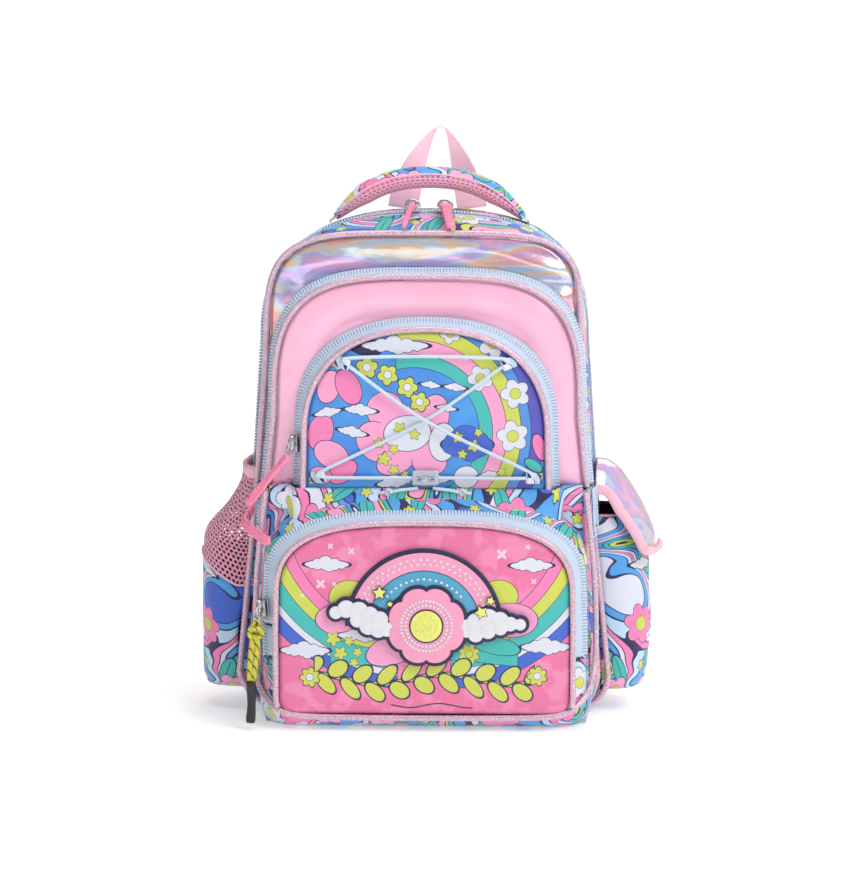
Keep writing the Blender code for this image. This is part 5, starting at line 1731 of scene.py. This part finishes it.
def patch():
    z, back = 0.0870, POCKET_Y - 0.0060
    centre = (0.0020, 0.0880)
    relief("patch_base", arc_band(z, 0.0642, 0.0290), back, back - 0.0024, "navy", 0.0006,
           "rainbow_patch")
    relief("patch_pink_band", arc_band(z, 0.0606, 0.0462), back - 0.0020, back - 0.0036, "patch_pink")
    relief("patch_blue_band", arc_band(z, 0.0456, 0.0322), back - 0.0020, back - 0.0034, "patch_blue")
    for name, discs in CLOUDS.items():
        cloud_relief("patch_cloud_rim_" + name, discs, back, back - 0.0040, "navy", 0.0028)
        cloud_relief("patch_cloud_" + name, discs, back - 0.0036, back - 0.0054, "patch_white")
    relief("patch_flower_rim", lobed(centre, 0.0348, 8, 0.10), back, back - 0.0046, "navy", 0.0006)
    relief("patch_flower", lobed(centre, 0.0318, 8, 0.13), back - 0.0042, back - 0.0062, "patch_pink", 0.0008)
    for name, radius, y0, y1, look in (("rim", 0.0140, 0.0056, 0.0067, "navy"),
                                       ("disc", 0.0127, 0.0063, 0.0075, "patch_yellow")):
        shape = [(centre[0] + radius * math.cos(a), centre[1] + radius * math.sin(a))
                 for a in turns(64)]
        relief("patch_heart_" + name, shape, back - y0, back - y1, look, 0.0004)
    stud = template((0.0021, 0.0021, 0.0012), 0.0006, 2)

    def studs(middle, radius, depth, angles, along=None):
        made = []
        for a in angles:
            out = Vector((math.cos(a), 0, math.sin(a)))
            spot = Vector((middle[0] + radius * math.cos(a), back - depth, middle[1] + radius * math.sin(a)))
            made.append(placed(stud, frame_at(spot, along or out, Vector((0, -1, 0)))))
        return made

    seeds, dots = [], []
    for count, radius in ((1, 0.0), (6, 0.0042), (12, 0.0086)):
        seeds += studs(centre, radius, 0.0077, turns(count), Vector((1, 0, 0)))
    for count, radius in ((44, 0.0206), (32, 0.0168)):
        dots += studs(centre, radius, 0.0063, turns(count))
    for radius, count, low, high in ((0.0552, 26, 18, 162), (0.0512, 25, 20, 160), (0.0390, 15, 40, 140)):
        angles = [math.radians(low + (high - low) * k / (count - 1)) for k in range(count)]
        dots += studs((0.0, z), radius, 0.0037, angles)
    merged("patch_seeds", seeds, "patch_yellow", "pocket_front")
    merged("patch_dots", dots, "patch_white", "pocket_front")
    stars = ((-0.0360, 0.1150, 0.0056), (0.0465, 0.0995, 0.0056), (0.0540, 0.1090, 0.0038),
             (-0.0275, 0.1060, 0.0026))
    for k, (x, up, r) in enumerate(stars):
        star = []
        for i in range(10):
            a = math.pi / 2 + math.pi * i / 5 + 0.4 * k
            reach = r if i % 2 == 0 else r * 0.5
            star.append((x + reach * math.cos(a), up + reach * math.sin(a)))
        relief(f"patch_star_rim_{k}", grown(star, 0.0008), back - 0.0034, back - 0.0060, "navy", 0.0003)
        relief(f"patch_star_{k}", star, back - 0.0056, back - 0.0068, "patch_yellow", 0.0003)


# ---------------------------------------------------------------- handle and hang loop


def carry_handle():
    """A padded handle: printed cloth over the top, spacer mesh under the grip, cord in the seams."""
    y, foot_z, span, rise, steps = 0.048, 0.4060, 0.078, 0.0332, 90
    sections, sides = [], 40

    def middle_z(t):
        return foot_z + rise * (1 - abs(t) ** 2.4)

    def swelling(t):
        return min(1.0, 3.2 * (1 - abs(t))) ** 0.8

    ts = [-1 + 2 * step / steps for step in range(steps + 1)]
    path = [Vector((span * t, y, middle_z(t))) for t in ts]
    for step, t in enumerate(ts):
        swell = swelling(t)
        w, h = (0.0160 + 0.0105 * swell) / 2, (0.0056 + 0.0122 * swell) / 2
        along = (path[min(step + 1, steps)] - path[max(step - 1, 0)]).normalized()
        side = Vector((0, -1, 0))
        up = side.cross(along)
        if up.z < 0:
            up = -up
        row = []
        for a in turns(sides):
            c, s = math.cos(a), math.sin(a)
            gather = 1 + 0.018 * math.sin(step * 1.9 + 3 * ruffle(path[step], 90.0)) * (1 - abs(s)) * swell
            row.append(path[step] + (side * w * math.copysign(abs(c) ** 0.8, c)
                                     + up * h * math.copysign(abs(s) ** 0.8, s)) * gather)
        sections.append(row)
    handle = swept("handle_grip", sections, "print", "carry_handle", ("carry_handle",))
    handle.data.materials.append(LOOKS["grip_mesh"])
    for face in handle.data.polygons:
        spot = face.center
        t = max(-1.0, min(1.0, spot.x / span))
        rel_y, rel_z = spot.y - y, spot.z - middle_z(t)
        under = rel_z < 0.0022 * swelling(t) - 0.30 * max(rel_y, 0.0) * 4
        face.material_index = 1 if under and abs(t) < 0.955 else 0
    for name, angle in (("front", 0.25), ("back", math.pi + 0.62)):
        k = round(angle / (2 * math.pi) * sides) % sides
        seam = [row[k] for row in sections[3:-3]]
        tube("handle_seam_" + name, seam, 0.0008, "binding", "carry_handle")
    for name, side in SIDES:
        tab_path = [Vector((side * (span + x), y, foot_z + z))
                    for x, z in ((-0.010, 0.0075), (-0.001, 0.001), (0.0050, -0.0035))]
        tab = ribbon_sections(smooth_path(tab_path, 6), Vector((0, 1, 0)), 0.0215, 0.0016, 0.7, 16)
        swept("handle_tab_" + name, tab, "print", "carry_handle")


def hang_loop():
    """Ribbed webbing sewn flat at both feet, twisting as it rises and folding over at the top."""
    centre_x, y, foot_z, top_z, span, steps = 0.0055, BACK_Y - 0.0020, 0.4104, 0.4795, 0.0290, 84
    path, across = [], []
    for step in range(steps + 1):
        angle = math.pi * step / steps
        path.append(Vector((centre_x + 0.0030 * math.sin(angle) ** 2
                            - span * math.cos(angle) * (1 - 0.48 * math.sin(angle)), y,
                            foot_z + (top_z - foot_z) * math.sin(angle) ** 0.88)))
        turn = math.radians(85) * math.sin(angle)
        across.append(Vector((math.cos(turn) if 2 * step <= steps else -math.cos(turn), math.sin(turn), 0)))
    sections = ribbon_sections(path, across, 0.0252, 0.0017, 0.7, 22)
    swept("hang_loop_webbing", sections, "loop", "hang_loop", ("hang_loop",))


# ---------------------------------------------------------------- side pockets and flap

SIDE_Y, SIDE_DEPTH = 0.030, 0.038


def side_x(z, side=-1, y=ZIP_Y):
    """How far out the body's side stands at a height and depth."""
    t = max(0.0, (ZIP_Y - y) / (ZIP_Y - FRONT_Y))
    high, low = waist(t), hips(t)
    x = low + (high - low) * clamped((z - 0.032) / (FOLD_Z - 0.032))
    return abs(swell_out(side * (x - 0.062 * max(0.0, z - FOLD_Z)), y, z)) + 0.0004


def reach_at(levels, z):
    """How far out a side pocket stands at a height, from its (reach, z) levels."""
    for (r0, z0), (r1, z1) in zip(levels, levels[1:]):
        if z <= z1:
            return r0 + (r1 - r0) * max(0.0, (z - z0) / (z1 - z0))
    return levels[-1][0]


def side_row(side, levels, height, count=64, shrink=0.0, seed=0.0, wave=0.0012):
    """One row round a side pocket; height is a function of the angle, 0 at the back and pi at the front."""
    row = []
    for k in range(count + 1):
        a = math.pi * k / count
        z = height(a)
        y = SIDE_Y + (SIDE_DEPTH - shrink) * math.cos(a)
        base = side_x(z, side, y)
        x = base + (reach_at(levels, z) - base - shrink) * math.sin(a) ** 0.7
        p = Vector((side * x, y, z))
        p.x += side * wave * ruffle(p, 26.0, seed) * math.sin(a)
        row.append(p)
    return row


def levels_between(levels, splits):
    """Smooth (reach, z) pairs through the given ones."""
    return [(p.x, p.y) for p in smooth_path([Vector((a, b, 0)) for a, b in levels], splits)]


def side_pockets():
    low, rim = 0.0200, 0.2010
    shape = levels_between([(0.1862, low), (0.1884, 0.0245), (0.1896, 0.050), (0.1898, 0.085),
                            (0.1888, 0.1300), (0.1848, 0.1500), (0.1668, 0.1700), (0.1560, 0.1870),
                            (0.1532, rim)], 6)

    def seam(a):
        return 0.130 - 0.026 * clamped((a - 1.5) / 1.5) ** 1.3

    def between(bottom, top, f):
        return lambda a: bottom(a) + (top(a) - bottom(a)) * f

    rows = [side_row(-1, shape, between(lambda a: low, seam, k / 16), seed=1.0) for k in range(17)]
    wall("left_pocket_cloth", rows, "print", "pack", ("left_pocket_base",), 0.0016)
    floor = [[p.lerp(Vector((-side_x(low), p.y, p.z)), f) for p in rows[0]] for f in (0.0, 0.5, 0.98)]
    wall("left_pocket_floor", floor, "print", "pack", thickness=0.0012)
    knitted = [side_row(-1, shape, between(seam, lambda a: rim, k / 30), 96, seed=2.0, wave=0.0022)
               for k in range(31)]
    for r, row in enumerate(knitted):
        for k, p in enumerate(row):
            a = math.pi * k / 96
            p.x -= 0.0009 * math.sin(k * 1.15 + 2 * ruffle(p, 40.0)) * r / 30 * math.sin(a)
    wall("left_pocket_net", knitted, "net", "pack", ("left_pocket_mesh",), 0.0010)
    hem = [[p + Vector((-0.0008, 0, d)) for p in knitted[-1]] for d in (-0.0075, -0.002, 0.0030)]
    wall("left_pocket_hem", hem, "binding", "pack", thickness=0.0020)
    tube("left_pocket_seam", [p + Vector((-0.0006, 0, 0)) for p in rows[-1]], 0.0009, "binding", "pack")
    low = 0.0185
    shape = levels_between([(0.1770, low), (0.1812, 0.026), (0.1842, 0.045), (0.1855, 0.085), (0.1830, 0.130),
                            (0.1770, 0.150), (0.1685, 0.1640)], 6)
    rows = [side_row(1, shape, between(lambda a: low, lambda a: 0.1640, k / 30), seed=5.0, wave=0.0018)
            for k in range(31)]
    wall("right_pocket_cloth", rows, "print_light", "pack", ("right_pocket",), 0.0016)
    floor = [[p.lerp(Vector((side_x(low, 1), p.y, p.z)), f) for p in rows[0]] for f in (0.0, 0.5, 0.98)]
    wall("right_pocket_floor", floor, "print", "pack", thickness=0.0012)
    # A dark lining sheet just inside the right pocket's cloth: painted shade in the pocket's opening.
    inside = [side_row(1, shape, between(lambda a: low, lambda a: 0.1630, k / 12), shrink=0.0024)
              for k in range(2, 13)]
    wall("right_pocket_painted_shade", inside, "lining", "pack", thickness=0.0004)
    tube("right_pocket_rim", rows[-1], 0.0012, "thread", "pack")
    flap()


def flap():
    """A holographic cover that arches over the right pocket, bound in pink along its free edge."""
    profile = [(0.1475, 0.2070), (0.1535, 0.2052), (0.1610, 0.1975), (0.1695, 0.1840), (0.1785, 0.1675),
               (0.1865, 0.1500), (0.1905, 0.1340)]
    spine = smooth_path([(x, 0.0, z) for x, z in profile], 8)
    count, across = len(spine), 36
    rows = []
    for i, spot in enumerate(spine):
        s = i / (count - 1)
        row = []
        for k in range(across + 1):
            v = -1 + 2 * k / across
            droop = abs(v) ** 2.3 * 0.0215 * (1 - 0.25 * s)
            round_off = 0.0125 * max(0.0, (s - 0.80) / 0.20) ** 2 * abs(v) ** 4
            y = SIDE_Y + 0.0430 * v * (1 - 0.05 * s)
            p = Vector((spot.x - droop * min(0.62, 0.02 + 1.2 * s) - 0.0098 * (1 - s) ** 4, y,
                        spot.z - droop * (1 - 0.45 * s) + round_off * 0.9))
            p.x += 0.0010 * ruffle(p, 34.0, 3.0) + 0.0015
            row.append(p)
        rows.append(row)
    wall("flap_cover", rows, "holo_flap", "side_flap", ("side_flap",), 0.0018)
    edge = [row[0] for row in rows] + rows[-1][1:-1] + [row[-1] for row in rows[::-1]]
    sections = ribbon_sections(resample(edge, 150), Vector((0.75, 0, 0.65)), 0.0084, 0.0038, 1.0, 12)
    swept("flap_binding", sections, "binding", "side_flap")
    inner = [p.lerp(Vector((0.168, SIDE_Y, 0.170)),
                    0.10) + Vector((0.0016, 0, 0.0010)) for p in resample(edge, 150)]
    stitches("flap_stitch", inner, "side_flap", "thread")


# ---------------------------------------------------------------- the back


def back():
    """A printed back panel under moulded foam pads in spacer mesh, with a channel down the middle."""
    rear = body_outline(BACK_Y)
    low = well_outline(BACK_Y)
    outline = rear + low[::-1][1:-1]
    panel("back_cloth", outline, BACK_Y + SEAM, "print", "pack", ("back_panel",),
          lambda t, p: 0.0014 * (1 - t ** 3), 14, 200, (0.0, 0.21), facing=1)
    edge = resample(outline, 260, True)
    row = [Vector((p.x * 0.997, BACK_Y + 0.0022, 0.21 + (p.y - 0.21) * 0.995)) for p in edge]
    for p in row:
        p.z = max(p.z, 0.0027)
    tube("back_piping", row, 0.0022, "glitter", "pack", (), True, 5)
    y_in = BACK_Y + 2 * SEAM + 0.0020
    shape = ring(0.092, 0.02, 0.366, 0.070, 2.6, 0.094, 0.026, 0.030)

    def foam(t, p):
        rim = min(1.0, (1 - t) / 0.10)
        height = 0.0098 * (1 - (1 - rim) ** 3)
        dip = 0.0062 * math.exp(-(p.x / 0.0075) ** 2)
        for z in (0.110, 0.195, 0.280):
            slope = z + 0.020 * (abs(p.x) / 0.09)
            dip += 0.0042 * math.exp(-((p.z - slope) / 0.0042) ** 2)
        return max(0.0012, height - min(dip, height * 0.8))

    pad = panel("back_foam", shape, y_in, "mesh", "pack", ("back_pad",), foam, 70, 300,
                (0.0, 0.19), 0.0010, 1)
    rim = resample(shape, 260, True)
    tube("back_foam_edge", [Vector((p.x, y_in + 0.0012, p.y)) for p in rim], 0.0016, "binding", "pack",
         (), True, 4)
    yoke = [Vector((x, BACK_Y + 0.0056, 0.3855)) for x in (-0.075, -0.04, 0.0, 0.04, 0.075)]
    swept("yoke_cloth", ribbon_sections(smooth_path(yoke, 8), Vector((0, 0, 1)), 0.0225, 0.0058, 0.7, 20),
          "print", "pack", ("strap_yoke",))
    for k, z in enumerate((0.3765, 0.3945)):
        stitches(f"yoke_stitch_{k}", [Vector((x, BACK_Y + 0.0088, z)) for x in (-0.071, 0.071)], "pack")
    straps()


def straps():
    for name, side in SIDES:
        route = [(0.045, 0.0985, 0.3900), (0.047, 0.1060, 0.3600), (0.055, 0.1095, 0.3100),
                 (0.068, 0.1105, 0.2500), (0.080, 0.1100, 0.1900), (0.086, 0.1085, 0.1420)]
        path = smooth_path([(side * x, y, z) for x, y, z in route], 12)
        count = len(path)
        widths = []
        for i in range(count):
            t = i / (count - 1)
            end = math.sqrt(max(0.0, 1 - max(0.0, (t - 0.95) / 0.05) ** 2)) * 0.5 + 0.5
            widths.append((0.062 - 0.016 * t) * end)
        thick = [0.0092 * (0.70 + 0.30 * math.sin(math.pi * min(1.0, i / count * 1.02)) ** 0.4)
                 for i in range(count)]
        sections = ribbon_sections(path, Vector((1, 0, 0)), widths, thick, 0.85, 36)
        body = "strap_" + name
        pad = swept("strap_cover_" + name, sections, "gloss", body,
                    ("strap_pad_" + name,))
        pad.data.materials.append(LOOKS["mesh"])
        for face in pad.data.polygons:
            face.material_index = 1 if face.normal.y < -0.25 else 0
        for sign in (-1, 1):
            seam = [p + Vector((sign * w * 0.498, 0, 0)) for p, w in zip(path, widths)]
            tube(f"strap_edge_{name}_{'in' if sign < 0 else 'out'}", seam[1:-2], 0.0019, "glitter", body)
            run = [p + Vector((sign * w * 0.40, 0.0046, 0)) for p, w in zip(path, widths)]
            stitches(f"strap_stitch_{name}_{'in' if sign < 0 else 'out'}", run[2:-4], body)
        webbing_path = [Vector((side * x, y, z)) for x, y, z in
                        ((0.0865, 0.1145, 0.1600), (0.0872, 0.1132, 0.1440), (0.0880, 0.1122, 0.1360),
                         (0.0888, 0.1060, 0.1240), (0.1050, 0.0995, 0.0900), (0.1180, 0.0940, 0.0620),
                         (0.1236, 0.0902, 0.0420))]
        swept("strap_tail_" + name,
              ribbon_sections(smooth_path(webbing_path, 8), Vector((1, 0, 0)), 0.0200, 0.0016, 0.7, 16),
              "webbing", body, ("strap_webbing_" + name,))
        anchor = [Vector((side * x, BACK_Y + y, z)) for x, y, z in
                  ((0.1290, 0.0046, 0.0225), (0.1262, 0.0056, 0.0300), (0.1236, 0.0064, 0.0395))]
        swept("anchor_" + name,
              ribbon_sections(smooth_path(anchor, 8), Vector((1, 0, 0.1)), 0.0270, 0.0050, 0.7, 18),
              "print", "pack", ("strap_anchor_" + name,))
        box = [(0.114, 0.0245), (0.136, 0.0245), (0.136, 0.0350), (0.114, 0.0350), (0.114, 0.0245)]
        stitches("anchor_stitch_" + name, [Vector((side * x, BACK_Y + 0.0088, z)) for x, z in box], "pack")


def kept_nodes():
    """The hard parts that keep their CAD shape get their finished materials."""
    for look, nodes in (("board", ("back_board", "base_board")), ("lining", ("inner_sleeve",)),
                        ("pink_plastic", ("ladder_lock_left", "ladder_lock_right"))):
        for node in nodes:
            obj = bpy.data.objects[node]
            obj.data.materials.clear()
            obj.data.materials.append(LOOKS[look])


def linings():
    """Dark lining cloth inside the leaves and the well."""
    inner_back, inner_front = BACK_Y - 0.0006, FRONT_Y + 0.0004
    for name, outline, inset, depths, splits, body in (
            ("rear", body_outline, -0.0030, (inner_back, ZIP_Y + 0.002), 3, "pack"),
            ("front", body_outline, -0.0030, (ZIP_Y - 0.002, inner_front), 3, "front_shell"),
            ("well", well_outline, -0.0032, (inner_back, inner_front), 4, "pack")):
        rows = full_rows([at_depth(outline(y, inset), y, 120) for y in depths], splits, 0.0, 0.0008)
        wall("lining_" + name, rows, "lining", body, thickness=0.0004)


body_cloth()
front_leaf()
second_leaf()
second_zip_tail()
bungee_leaf()
lower_pocket()
lacing()
patch()
sliders_and_pulls()
carry_handle()
hang_loop()
side_pockets()
back()
linings()
kept_nodes()
